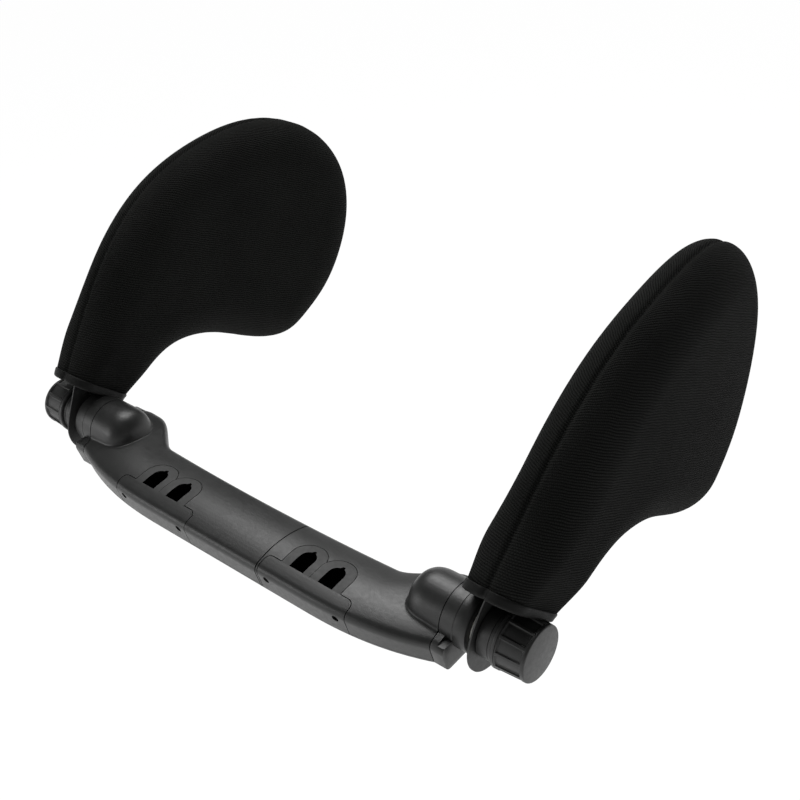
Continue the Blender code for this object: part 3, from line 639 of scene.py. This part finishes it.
def bar_skin(low, high, inset=0.0, with_hood=False):
    """The bar's envelope between two places along X. The hood's shape is averaged over a short way
    along X, so that its nose meets the top in a soft fillet."""
    offsets = np.linspace(-1.1, 1.1, 9)
    weights = np.exp(-(offsets / 0.55) ** 2)
    weights /= weights.sum()
    rings = []
    for x in stations(low, high):
        if with_hood and abs(x) > NOSE_TIP - 3:
            reach = sum(w * bar_reach(x + o, inset, True) for o, w in zip(offsets, weights))
        else:
            reach = bar_reach(x, inset, False)
        points = np.array((core_y(x), CORE_Z)) + DIRECTIONS * reach[:, None]
        rings.append(np.c_[np.full(len(RAYS), x), points])
    return loft("bar", rings)


def liner_arch(side, centre, gap=0.0):
    """One arch of the post liner, open towards the door."""
    radius, door = LINER_RADIUS + gap, DOOR_HIGH.y - gap
    a = np.linspace(math.pi, 0, 33)
    arc = np.c_[centre + radius * np.cos(a), LINER_SPRING_Y + radius * np.sin(a)]
    outline = np.concatenate([[(centre - radius, door)], arc, [(centre + radius, door)]])
    outline[:, 0] *= side
    return [tuple(p) for p in outline]


def liner_outline(side, gap):
    """Both arches of the post liner as one outline, open towards the door."""
    radius, door = LINER_RADIUS + gap, DOOR_HIGH.y - gap
    meet = math.acos((SLOT_X[1] - SLOT_X[0]) / 2 / radius)
    outline = [(SLOT_X[0] - radius, door)]
    for centre, start, end in ((SLOT_X[0], math.pi, meet), (SLOT_X[1], math.pi - meet, 0)):
        outline += [(centre + radius * math.cos(a), LINER_SPRING_Y + radius * math.sin(a))
                    for a in np.linspace(start, end, 27)[(0 if centre == SLOT_X[0] else 1):]]
    outline.append((SLOT_X[1] + radius, door))
    return [(side * x, y) for x, y in outline]


def slot_outline(side, centre):
    """A post slot: straight walls, an arch, and a small notch at its top."""
    a = np.radians(np.linspace(0, 62, 12))
    wall = [(SLOT_HALF, DOOR_HIGH.y - 2)]
    wall += list(zip(SLOT_HALF * np.cos(a), SLOT_STRAIGHT_Y + SLOT_ARCH * np.sin(a)))
    wall += SLOT_NUB
    return [(side * centre - x, y) for x, y in wall] + [(side * centre + x, y) for x, y in wall[::-1]]


def door_block(side, gap):
    """The space of a door, grown by gap, with its two corners on the liner's side rounded in plan."""
    low, high = sorted((side * (DOOR_LOW.x - gap), side * (DOOR_HIGH.x + gap)))
    rear, corner = DOOR_HIGH.y + gap, DOOR_CORNER + gap
    corners = [(low, -FAR_Y, 0), (high, -FAR_Y, 0), (high, rear, corner), (low, rear, corner)]
    return prism(rounded(corners), -FAR_Z / 2, FAR_Z / 2)


UNDERSIDE_SCREWS = ("shell_screw_1", "shell_screw_2", "cap_screw", "travel_stop_screw",
                    "sleeve_screw_front", "sleeve_screw_rear")


def screw_places():
    """Each screw in the underside: node name, x and y."""
    found = []
    for node in frame["nodes"]:
        if node.endswith(UNDERSIDE_SCREWS):
            low, high = span(node)
            found.append((node, (low.x + high.x) / 2, (low.y + high.y) / 2))
    return found


def housing(side, upper):
    """One shell of the left or the right half of the bar: hollow, with a bulkhead at the middle of the
    bar, and open at the outer end."""
    if side < 0:
        low, high = -BAR_END + SEAM, SEAM_LEFT - SEAM
        inner_low, inner_high = low - 5, high - BULKHEAD
    else:
        low, high = SEAM_RIGHT + SEAM, BAR_END - SEAM
        inner_low, inner_high = low + BULKHEAD, high + 5
    shell = bar_skin(low, high, with_hood=upper)
    off_low, off_high = (-FAR_Z, PART_HIGH) if upper else (PART_LOW, FAR_Z)
    cut(shell, box((-FAR_X, -FAR_Y, off_low), (FAR_X, FAR_Y, off_high)))
    cut(shell, bar_skin(inner_low, inner_high, WALL))
    if upper:
        inner = [(CAP_START + 5, BOSS_R - WALL), (NOSE_START, BOSS_R - WALL), (NOSE_TIP + 6, BOSS_R - 6),
                 (NOSE_TIP + 3, BOSS_R - 11)]
        cut(shell, turned(inner, side, steps=48))
    cut(shell, box((SEAM_LEFT - 4, SLEEVE_LOW.y - GAP, SLEEVE_LOW.z - GAP),
                   (SEAM_RIGHT + 4, SLEEVE_HIGH.y + GAP, SLEEVE_HIGH.z + GAP)))
    if upper:
        for x in DOOR_SCREW_X:
            join(shell, side_box(side, x - BOSS_HALF, x + BOSS_HALF, (DOOR_HIGH.y + 0.4, BOSS_REAR_Y),
                                 (BOSS_LOW, bar_top(x, DOOR_HIGH.y) - 0.8)))
    cut(shell, door_block(side, GAP + SEAM))
    cut(shell, prism(liner_outline(side, GAP + SEAM / 2), -FAR_Z / 2, FAR_Z / 2))
    if upper:
        for x in DOOR_SCREW_X:
            cut(shell, along("Y", (side * x, DOOR_SCREW_Z),
                             [(DOOR_HIGH.y - 1, DOOR_HOLE_R), (BOSS_REAR_Y - 1.5, DOOR_HOLE_R)]))
    else:
        for _, x, y in screw_places():
            if low < x < high:
                for start, end, radius in ((-HALF_HEIGHT - 3, -HALF_HEIGHT + SCREW_SEAT, SCREW_HEAD_R),
                                           (-HALF_HEIGHT, 0, SCREW_R)):
                    cut(shell, along("Z", (x, y), [(start, radius + GAP), (end, radius + GAP)]))
    return shell


def liner(side):
    """The M-shaped liner: one whole arch laid over the other, with a fine line between them."""
    whole, partial = max(SLOT_X, key=lambda x: side * x), min(SLOT_X, key=lambda x: side * x)
    first, second = prism(liner_arch(side, whole), -20, 20), prism(liner_arch(side, partial), -21, 21)
    cut(second, prism(liner_arch(side, whole, LINER_LINE), -FAR_Z / 2, FAR_Z / 2))
    skin_low, skin_high = sorted((side * (SLOT_X[0] - 20), side * (SLOT_X[1] + 20)))
    keep(first, bar_skin(skin_low, skin_high))
    keep(second, bar_skin(skin_low, skin_high))
    for piece, centre in ((first, whole), (second, partial)):
        cut(piece, prism(slot_outline(side, centre), -FAR_Z / 2, FAR_Z / 2))
    ends = sorted(whole + (partial - whole) * share for share in (0.35, 0.65))
    bridge = side_box(side, *ends, (-8, 4), (-5, 5))
    for centre in SLOT_X:
        cut(bridge, prism(slot_outline(side, centre), -FAR_Z / 2, FAR_Z / 2))
    return join(first, second, bridge)


def door(side):
    """The clamp door, hollow behind, with its screws' seats."""
    low, high = sorted((side * (DOOR_LOW.x - 2), side * (DOOR_HIGH.x + 2)))
    made = bar_skin(low, high)
    keep(made, door_block(side, 0.0))
    low, high = sorted((side * (DOOR_SCREW_X[0] + 6), side * (DOOR_SCREW_X[1] - 6)))
    cut(made, box((low, DOOR_POCKET_Y, -FAR_Z / 2), (high, DOOR_HIGH.y - 2.5, HALF_HEIGHT - 3)))
    for x in DOOR_SCREW_X:
        for start, end, radius in ((-40, DOOR_SEAT_Y, DOOR_HEAD_R + GAP), (-30, 0, DOOR_HOLE_R)):
            cut(made, along("Y", (side * x, DOOR_SCREW_Z), [(start, radius), (end, radius)]))
    return made


def build_bar():
    for name, side in SIDES.items():
        body = HALVES[name]
        for level, upper in (("upper", True), ("lower", False)):
            finish(housing(side, upper), f"{name}_{level}_housing", body, "housing",
                   f"{name}_{level}_shell")
        lined = finish(liner(side), f"{name}_liner", body, "liner",
                       f"{name}_post_liner")
        bevel(lined, 0.22)
        finish(door(side), f"{name}_door", f"{name}_door", "housing",
               f"{name}_clamp_door")


# -------- hinge, knob, screws

def end_cap(side):
    """The block that closes the bar's end, its stepped top, and the collar of the hinge."""
    outline = bar_section(BAR_END)
    places = (CAP_START, CAP_START + 0.01, CAP_BLOCK_END - 0.6, CAP_BLOCK_END - 0.15, CAP_BLOCK_END)
    middle = np.mean(outline, axis=0)
    rings = []
    for x, drawn in zip(places, (0, 0, 0, 0.2, 0.6)):
        away = np.array(outline) - middle
        reach = np.linalg.norm(away, axis=1, keepdims=True)
        rings.append(np.c_[np.full(len(outline), side * x), middle + away * (1 - drawn / reach)])
    block = loft("block", rings)
    cut(block, side_box(side, CAP_STEP_X, CAP_BLOCK_END + 5, (-40, 80), (CAP_STEP_Z, 40)))
    collar = [(CAP_START, BOSS_R), (154.2, BOSS_R), (154.5, BOSS_R - 0.3), (154.9, BOSS_R - 0.3),
              (155.1, BOSS_R - 0.15), (COLLAR_END - 1.2, BOSS_R - 0.15), (COLLAR_END - 0.5, BOSS_R - 0.45),
              (COLLAR_END, BOSS_R - 1.2)]
    join(block, turned(collar, side, steps=128))
    join(block, turned([(SPIGOT_START, SPIGOT_R), (BAR_END + 3, SPIGOT_R)], side, steps=64))
    cut(block, turned([(SPIGOT_START - 3, BOLT_R + GAP), (COLLAR_END + 3, BOLT_R + GAP)], side, steps=32))
    low, high = span(f"{'left' if side < 0 else 'right'}_collar_pin")
    pin = Vector(((low.x + high.x) / 2, (low.y + high.y) / 2, (low.z + high.z) / 2))
    out = Vector((0, pin.y - AXIS_Y, pin.z - AXIS_Z)).normalized()
    hole = along("Z", (0, 0), [(-4, 1.15), (8, 1.15)])
    hole.data.transform(Matrix.Translation(pin * MM) @ out.to_track_quat("Z", "Y").to_matrix().to_4x4())
    cut(block, hole)
    return block


def knob_radius(x):
    """The knob tapers outward, with softened ends."""
    share = (x - KNOB_START) / (KNOB_END - KNOB_START)
    radius = KNOB_R_IN + (KNOB_R_OUT - KNOB_R_IN) * share
    depth = min(x - KNOB_START, KNOB_END - x, KNOB_EDGE)
    return radius - KNOB_EDGE + math.sqrt(max(KNOB_EDGE ** 2 - (KNOB_EDGE - depth) ** 2, 0.0))


def knob(side):
    """The clamping knob: grip panels sunk between narrow ridges, and a plain flat end."""
    steps = KNOB_PANELS * 26
    a = np.arange(steps) * 2 * math.pi / steps
    phase = (a * KNOB_PANELS / (2 * math.pi)) % 1.0
    from_ridge = np.minimum(phase, 1 - phase) * 2 * math.pi / KNOB_PANELS * KNOB_R_IN
    panel = smoothstep((from_ridge - 0.75) / 0.55)
    start, end = KNOB_START + 3.1, KNOB_END - 2.1
    places = np.concatenate([KNOB_START + np.array([0, 0.1, 0.3, 0.6, 0.9, 2.2, 2.8]),
                             np.linspace(start, start + 0.8, 6), np.linspace(start + 1.4, end - 1.4, 8),
                             np.linspace(end - 0.8, end, 6),
                             KNOB_END - np.array([1.7, 0.9, 0.6, 0.3, 0.1, 0])])
    rings = []
    for x in places:
        lengthwise = smoothstep((x - start) / 0.8) * smoothstep((end - x) / 0.8)
        depth = 1.0 + 0.25 * (phase - 0.5)
        r = knob_radius(x) - depth * panel * lengthwise
        rings.append(np.c_[np.full(steps, side * x), AXIS_Y + r * np.cos(a), AXIS_Z + r * np.sin(a)])
    made = loft("knob", rings)
    ring = KNOB_START + 2.35
    groove = turned([(ring, KNOB_R_IN + 3), (ring + 0.35, KNOB_R_IN + 3)], side)
    cut(groove, turned([(ring - 1, KNOB_R_IN - 0.55), (ring + 1, KNOB_R_IN - 0.55)], side))
    cut(made, groove)
    pocket = turned([(KNOB_START - 2, NUT_R), (NUT_POCKET_END, NUT_R)], side, steps=6)
    cut(made, pocket, turned([(KNOB_START, BOLT_R + 0.5), (KNOB_BORE_END, BOLT_R + 0.5)], side, steps=32))
    return made


def spacer(side):
    """The ring between the hub and the knob."""
    full, worn = SPACER_R, SPACER_R - 0.3
    profile = [(SPACER_START, SPACER_R - 0.6), (SPACER_START + 0.4, full), (SPACER_END - 2.4, full),
               (SPACER_END - 2.2, worn), (SPACER_END - 1.9, worn), (SPACER_END - 1.7, full),
               (SPACER_END - 0.3, full), (SPACER_END, worn)]
    made = turned(profile, side)
    cut(made, turned([(SPACER_START - 3, BOLT_R + GAP), (SPACER_END + 3, BOLT_R + GAP)], side, steps=32))
    return made


def screw(place, direction, head_r, shank_r, top, length):
    """A cross-recessed screw: place is the middle of the head's outer face, direction points out of it,
    and top is the head's height."""
    head = along("Z", (0, 0), [(-length, shank_r), (-top, shank_r), (-top + 0.02, head_r), (-0.25, head_r),
                               (-0.06, head_r - 0.18), (0, head_r - 0.45)], 40)
    arm, width = head_r * 0.62, head_r * 0.15
    for u, v in ((arm, width), (width, arm)):
        cut(head, box((-u, -v, -top * 0.7), (u, v, 1)))
    turn = Matrix.Rotation(0.5 + 0.37 * place[0], 4, "Z")
    pose = Matrix.Translation(Vector(place) * MM) @ direction.to_track_quat("Z", "Y").to_matrix().to_4x4()
    head.data.transform(pose @ turn)
    return head


def build_hinges():
    for name, side in SIDES.items():
        body = HALVES[name]
        finish(end_cap(side), f"{name}_hinge_cap", body, "housing", f"{name}_end_cap")
        finish(knob(side), f"{name}_grip_knob", f"{name}_knob_body", "knob", f"{name}_knob")
        finish(spacer(side), f"{name}_knob_spacer", f"{name}_knob_carriage", "knob",
               f"{name}_spacer")
        for place, x in zip(("inner", "outer"), DOOR_SCREW_X):
            low, high = span(f"{name}_door_screw_{place}")
            made = screw((side * x, low.y, DOOR_SCREW_Z), Vector((0, -1, 0)), DOOR_HEAD_R,
                         DOOR_HOLE_R - GAP, 1.8, high.y - low.y)
            finish(made, f"{name}_door_fixing_{place}", f"{name}_door", "black_steel",
                   f"{name}_door_screw_{place}")
    for node, x, y in screw_places():
        low, high = span(node)
        made = screw((x, y, low.z), Vector((0, 0, -1)), SCREW_HEAD_R, SCREW_R, 0.9, high.z - low.z)
        body = frame["nodes"][node]["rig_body"]
        finish(made, node.replace("screw", "fixing"), body, "steel", node)


# -------- arm and pad

CHUNK = 4000  # points worked on at once, to save memory


def nearest_edge(points, outline):
    """For points of the YZ plane: distance to an open outline, less than zero outside it, and the
    outline's own inward direction at the nearest place."""
    a, b = outline[:-1], outline[1:]
    line = b - a
    size = np.sum(line ** 2, axis=1)
    ahead = np.gradient(outline, axis=0)
    ahead /= np.linalg.norm(ahead, axis=1, keepdims=True)
    inward = np.c_[ahead[:, 1], -ahead[:, 0]]
    distance, towards = np.empty(len(points)), np.empty_like(points)
    for start in range(0, len(points), CHUNK):
        chunk = points[start:start + CHUNK]
        share = np.clip(np.einsum("ijk,jk->ij", chunk[:, None] - a[None], line) / size, 0, 1)
        gap = np.linalg.norm(chunk[:, None] - (a[None] + share[..., None] * line[None]), axis=2)
        k = np.argmin(gap, axis=1)
        rows = np.arange(len(chunk))
        distance[start:start + CHUNK] = gap[rows, k]
        part = share[rows, k, None]
        turned_in = inward[k] * (1 - part) + inward[k + 1] * part
        offset = chunk - (a[k] + part * line[k])
        outside = np.einsum("ij,ij->i", offset, turned_in) < 0
        distance[start:start + CHUNK][outside] *= -1
        towards[start:start + CHUNK] = turned_in
    return distance, towards


def pad_mid(y):
    """The middle of the pad's thickness, which cups slightly round the head."""
    return PAD_MID_X - 0.037 * (y - 159) - 0.00064 * (y - 159) ** 2


PAD_SAMPLES = 4000
PAD_CURVE = spline(PAD_OUTLINE, PAD_SAMPLES + 1)
HEM_SHARE, LAST_SHARE = 0.0165, 0.9988  # the cover's first and last row, from the mouth to the tip


def pad_rows(shares, across, grow=0.0):
    """Rows of points over both faces of the pad, at shares of the way from the mouth to the tip, and the
    place of each on its flat panel. The faces bulge in quarter circles from the outline, the sewn edge
    is sunk and faintly puckered between them, and grow thickens or thins the whole."""
    t = np.linspace(0, 1, across + 1)
    place = np.where(t < 0.5, 0.5 * (2 * t) ** 3.2, 1 - 0.5 * (2 - 2 * t) ** 3.2)
    a = PAD_CURVE[np.round(shares * PAD_TIP * PAD_SAMPLES).astype(int)]
    b = PAD_CURVE[PAD_SAMPLES - np.round(shares * (1 - PAD_TIP) * PAD_SAMPLES).astype(int)]
    points = (a[:, None] + (b - a)[:, None] * place[None, :, None]).reshape(-1, 2)
    share = np.repeat(shares, across + 1)
    neck = MOUTH_THICKNESS + (1 - MOUTH_THICKNESS) * smoothstep(share / 0.10)
    edge = MOUTH_EDGE + (PAD_EDGE - MOUTH_EDGE) * smoothstep(share / 0.22)
    distance, inward = nearest_edge(points, PAD_CURVE[::10])
    points = points - np.minimum(distance, 0)[:, None] * inward
    distance = np.maximum(distance, 0)
    depth = np.clip(distance / edge, 0, 1)
    bulge = np.sqrt(1 - (1 - depth) ** 2) * neck
    rows, flats = [], []
    for half, sign in ((PAD_INNER, -1), (PAD_OUTER, 1)):
        thick = bulge * half + grow
        sunk = 1.5 * np.exp(-(thick / 1.6) ** 2) + 0.7 * np.exp(-(thick / 6.0) ** 2)
        waves = np.sin(points @ (0.9, 1.3) + 0.8 * np.sin(points @ (0.31, -0.2)))
        ripple = 0.16 * np.exp(-(thick / 5.0) ** 2) * waves
        drawn = points + inward * (sunk + ripple - grow * (1 - depth))[:, None]
        x = pad_mid(points[:, 0]) + sign * np.maximum(thick, 0.02)
        rows.append(np.c_[x, drawn].reshape(len(shares), across + 1, 3))
        wrap = edge * (math.pi / 2 - np.arcsin(np.clip(1 - depth, 0, 1))) * 0.9
        spare = np.maximum(edge * math.pi / 2 * 0.9 - wrap - (edge - distance), 0) * (depth < 1)
        flat = points - inward * spare[:, None]
        flats.append(flat.reshape(len(shares), across + 1, 2))
    return rows, flats


RIB_TILT = math.radians(-31)  # the ribs fall this much towards the tip


def add_weave(obj, flat):
    """Stores each point's place on the flat panel: along the ribs, then across them."""
    c, s = math.cos(RIB_TILT), math.sin(RIB_TILT)
    values = np.zeros((len(flat), 3), np.float32)
    values[:, 0] = flat[:, 0] * c + flat[:, 1] * s
    values[:, 1] = -flat[:, 0] * s + flat[:, 1] * c
    weave = obj.data.attributes.new("weave", "FLOAT_VECTOR", "POINT")
    weave.data.foreach_set("vector", values.ravel())


def ring_order(rows, flats):
    """The two faces' rows as closed rings, out over one face and back over the other."""
    return tuple(np.concatenate([pair[0], pair[1][:, ::-1]], axis=1) for pair in (rows, flats))


def pad_cover(side):
    """The knitted cover: an open bag with a thickness and a turned-in hem."""
    across = 84
    t = np.linspace(0, 1, 150)
    eased = t ** 0.85 * (1 - t) + t * (1 - (1 - t) ** 1.7)  # rows drawn together towards the tip
    shares = HEM_SHARE + (LAST_SHARE - HEM_SHARE) * eased
    rings, flat = ring_order(*pad_rows(shares, across))
    count = rings.shape[1]
    hem = np.linspace(HEM_SHARE, 0.05, 6)[::-1]
    inside, inside_flat = ring_order(*pad_rows(hem, across, grow=-1.3))
    points = np.concatenate([inside.reshape(-1, 3), rings.reshape(-1, 3)]) * (side, 1, 1)
    faces = grid_faces(len(inside) + len(rings), count)
    faces.append(tuple(range(len(points) - count, len(points))))
    made = mesh_object("cover", points, faces)
    add_weave(made, np.concatenate([inside_flat.reshape(-1, 2), flat.reshape(-1, 2)]))
    return made


def cuff(side):
    """The elastic band bound round the mouth, with a rounded face."""
    across, steps = 60, 15
    shares = np.linspace(0.0, HEM_SHARE + 0.0007, steps)
    v = np.linspace(-1, 1, steps)
    crown = 0.75 * np.sqrt(np.maximum(1 - v ** 4, 0))
    outer, outer_flat, inner = [], [], []
    for share, grow in zip(shares, crown):
        ring, flat = ring_order(*pad_rows(np.array([share]), across, grow=grow + 0.1))
        outer.append(ring[0])
        outer_flat.append(flat[0])
        inner.append(ring_order(*pad_rows(np.array([share]), across, grow=-1.2))[0][0])
    rings = np.array(outer + inner[::-1]) * (side, 1, 1)
    count = rings.shape[1]
    faces = grid_faces(len(rings), count)
    last = (len(rings) - 1) * count
    faces += [(last + j, last + (j + 1) % count, (j + 1) % count, j) for j in range(count)]
    made = mesh_object("cuff", rings.reshape(-1, 3), faces)
    flat = np.array(outer_flat + outer_flat[::-1])
    add_weave(made, flat.reshape(-1, 2))
    return made


def arm_slab(side):
    """The arm's hub and neck, up into the pad: a plate with bullnose edges that steps outward."""
    steps, across, edge = 70, 36, 2.3
    spine = spline(ARM_SPINE, steps)
    ahead = np.gradient(spine, axis=0)
    ahead /= np.linalg.norm(ahead, axis=1, keepdims=True)
    sideways = np.c_[-ahead[:, 1], ahead[:, 0]]
    share = np.linspace(0, 1, steps)
    key = share * (len(ARM_HALF) - 1)
    k = np.minimum(key.astype(int), len(ARM_HALF) - 2)
    halves = np.array(ARM_HALF)
    half = halves[k] + (halves[k + 1] - halves[k]) * smoothstep(key - k)
    a = np.linspace(0.02, math.pi / 2, 26, endpoint=False)
    hub_back = spine[0] - ahead[0] * (HUB_R * np.cos(a))[:, None]
    centres = np.concatenate([hub_back, spine])
    turned_side = np.concatenate([np.repeat(sideways[:1], len(a), axis=0), sideways])
    widths = np.concatenate([HUB_R * np.sin(a), half])
    shares = np.concatenate([np.zeros(len(a)), share])
    left, right = centres + turned_side * widths[:, None], centres - turned_side * widths[:, None]
    outline = np.concatenate([left[::-1], right])
    t = 0.5 - 0.5 * np.cos(np.linspace(0, math.pi, across + 1))
    points = (left[:, None] + (right - left)[:, None] * t[None, :, None]).reshape(-1, 2)
    distance, _ = nearest_edge(points, outline)
    hub_mid, hub_half = (HUB_IN + HUB_OUT) / 2, (HUB_OUT - HUB_IN) / 2
    step_out = np.repeat(smoothstep((shares * 0.42 - 0.02) / 0.30), across + 1)
    thick = hub_half + (2.4 - hub_half) * step_out
    depth = np.clip(distance, 0, edge)
    half_thick = thick - edge + np.sqrt(np.maximum(edge ** 2 - (edge - depth) ** 2, 0))
    middle = hub_mid + (pad_mid(points[:, 0]) - hub_mid) * step_out
    near = np.c_[middle - half_thick, points].reshape(len(shares), across + 1, 3)
    far = np.c_[middle + half_thick, points].reshape(len(shares), across + 1, 3)
    rings = np.concatenate([near, far[:, ::-1]], axis=1)
    rings[..., 0] *= side
    return loft("arm", list(rings))


def arm(side):
    """The arm with the knob's recess in its hub and the bush's bore."""
    made = arm_slab(side)
    recess = [(HUB_OUT - RECESS_DEPTH, RECESS_R - 0.5), (HUB_OUT - RECESS_DEPTH + 0.5, RECESS_R),
              (HUB_OUT - 0.5, RECESS_R), (HUB_OUT + 0.4, RECESS_R + 0.9), (HUB_OUT + 12, RECESS_R + 0.9)]
    cut(made, turned(recess, side))
    cut(made, turned([(HUB_IN - 4, BUSH_R + GAP), (HUB_OUT + 4, BUSH_R + GAP)], side, steps=48))
    return made


def build_wings():
    for name, side in SIDES.items():
        body = f"{name}_wing"
        finish(arm(side), f"{name}_wing_arm", body, "arm", f"{name}_arm")
        made = finish(pad_cover(side), f"{name}_knit_cover", body, "knit",
                      f"{name}_pad_cover", sharp=None)
        finish(cuff(side), f"{name}_cuff_tape", body, "tape", f"{name}_cuff_band",
               sharp=None)


# -------- pieces kept from the CAD

KEPT_LOOKS = {"hinge_bolt": "steel", "bolt_washer": "steel", "friction_washer": "nylon",
              "hinge_bush": "brass", "knob_nut": "brass", "pad_foam": "foam",
              "collar_pin": "black_steel", "sliding_sleeve": "liner", "slide_friction_spring": "steel"}


def dress_cad_nodes():
    """The pieces whose CAD shape is right: new materials, and softened edges on the hard ones."""
    for node, obj in frame["nodes"].items():
        look = next((look for key, look in KEPT_LOOKS.items() if node.endswith(key)), None)
        if obj.hide_render or look is None:
            continue
        obj.data.materials.clear()
        obj.data.materials.append(LOOKS[look])
        if look != "foam":
            bevel(obj, 0.2)


# -------- studio

STUDIO_MIDDLE = (0, 0.09, 0.03)  # these places, and the softboxes', are in metres
FLOOR_HALF, FLOOR_Z = 4e4, -600
CAMERA_PLACE = (0.43444, -0.31275, 0.47463)
CAMERA_RIGHT = (0.765, 0.638, -0.087)
CAMERA_UP = (-0.326, 0.501, 0.802)
CAMERA_LENS = 53.27


def area_light(name, place, size, power):
    """A rectangular softbox that looks at the middle of the part."""
    data = bpy.data.lights.new(name, "AREA")
    data.shape = "RECTANGLE"
    data.size, data.size_y = size
    data.energy = power
    obj = bpy.data.objects.new(name, data)
    obj.location = place
    obj.rotation_mode = "QUATERNION"
    obj.rotation_quaternion = (Vector(STUDIO_MIDDLE) - Vector(place)).to_track_quat("-Z", "Y")
    bpy.context.scene.collection.objects.link(obj)


def white_world():
    """A white sky, bright at the horizon and dim overhead."""
    world = bpy.data.worlds.new("studio")
    world.use_nodes = True
    tree = world.node_tree
    background = tree.nodes["Background"]
    background.inputs["Color"].default_value = (1, 1, 1, 1)
    place, split, level = (tree.nodes.new("ShaderNode" + kind)
                           for kind in ("TexCoord", "SeparateXYZ", "MapRange"))
    level.interpolation_type = "SMOOTHSTEP"
    for key, value in zip(("From Min", "From Max", "To Min", "To Max"), (0.0, 0.5, 0.45, 0.07)):
        level.inputs[key].default_value = value
    tree.links.new(place.outputs["Generated"], split.inputs[0])
    tree.links.new(split.outputs["Z"], level.inputs["Value"])
    tree.links.new(level.outputs["Result"], background.inputs["Strength"])
    return world


def white_floor():
    """A sheet of bright paper far below the part."""
    corners = [(u * FLOOR_HALF, v * FLOOR_HALF, FLOOR_Z) for u, v in ((-1, -1), (1, -1), (1, 1), (-1, 1))]
    floor = mesh_object("floor", corners, [(0, 1, 2, 3)])
    paper = new_material("white_paper", (0.1, 0.1, 0.1), 1.0, Emission_Strength=0.98,
                         Specular_IOR_Level=0.0)
    paper.node_tree.nodes["Principled BSDF"].inputs["Emission Color"].default_value = (1, 1, 1, 1)
    floor.data.materials.append(paper)


def place_camera():
    """The main view: from in front, to the right and above."""
    camera = bpy.data.objects.new("camera", bpy.data.cameras.new("camera"))
    right, up = Vector(CAMERA_RIGHT).normalized(), Vector(CAMERA_UP).normalized()
    back = right.cross(up).normalized()
    turn = Matrix((right, back.cross(right), back)).transposed().to_4x4()
    camera.matrix_world = Matrix.Translation(CAMERA_PLACE) @ turn
    camera.data.lens = CAMERA_LENS
    camera.data.clip_start, camera.data.clip_end = 0.01, 100
    bpy.context.scene.collection.objects.link(camera)
    bpy.context.scene.camera = camera


def build_studio():
    scene = bpy.context.scene
    scene.view_settings.view_transform = "Standard"
    scene.view_settings.look = "None"
    scene.world = white_world()
    white_floor()
    area_light("top_softbox", (-0.40, 0.60, 1.15), (0.9, 0.9), 17)
    area_light("front_softbox", (-0.9, -1.1, 0.35), (0.7, 0.5), 4)
    place_camera()


build_studio()
build_bar()
build_hinges()
build_wings()
dress_cad_nodes()
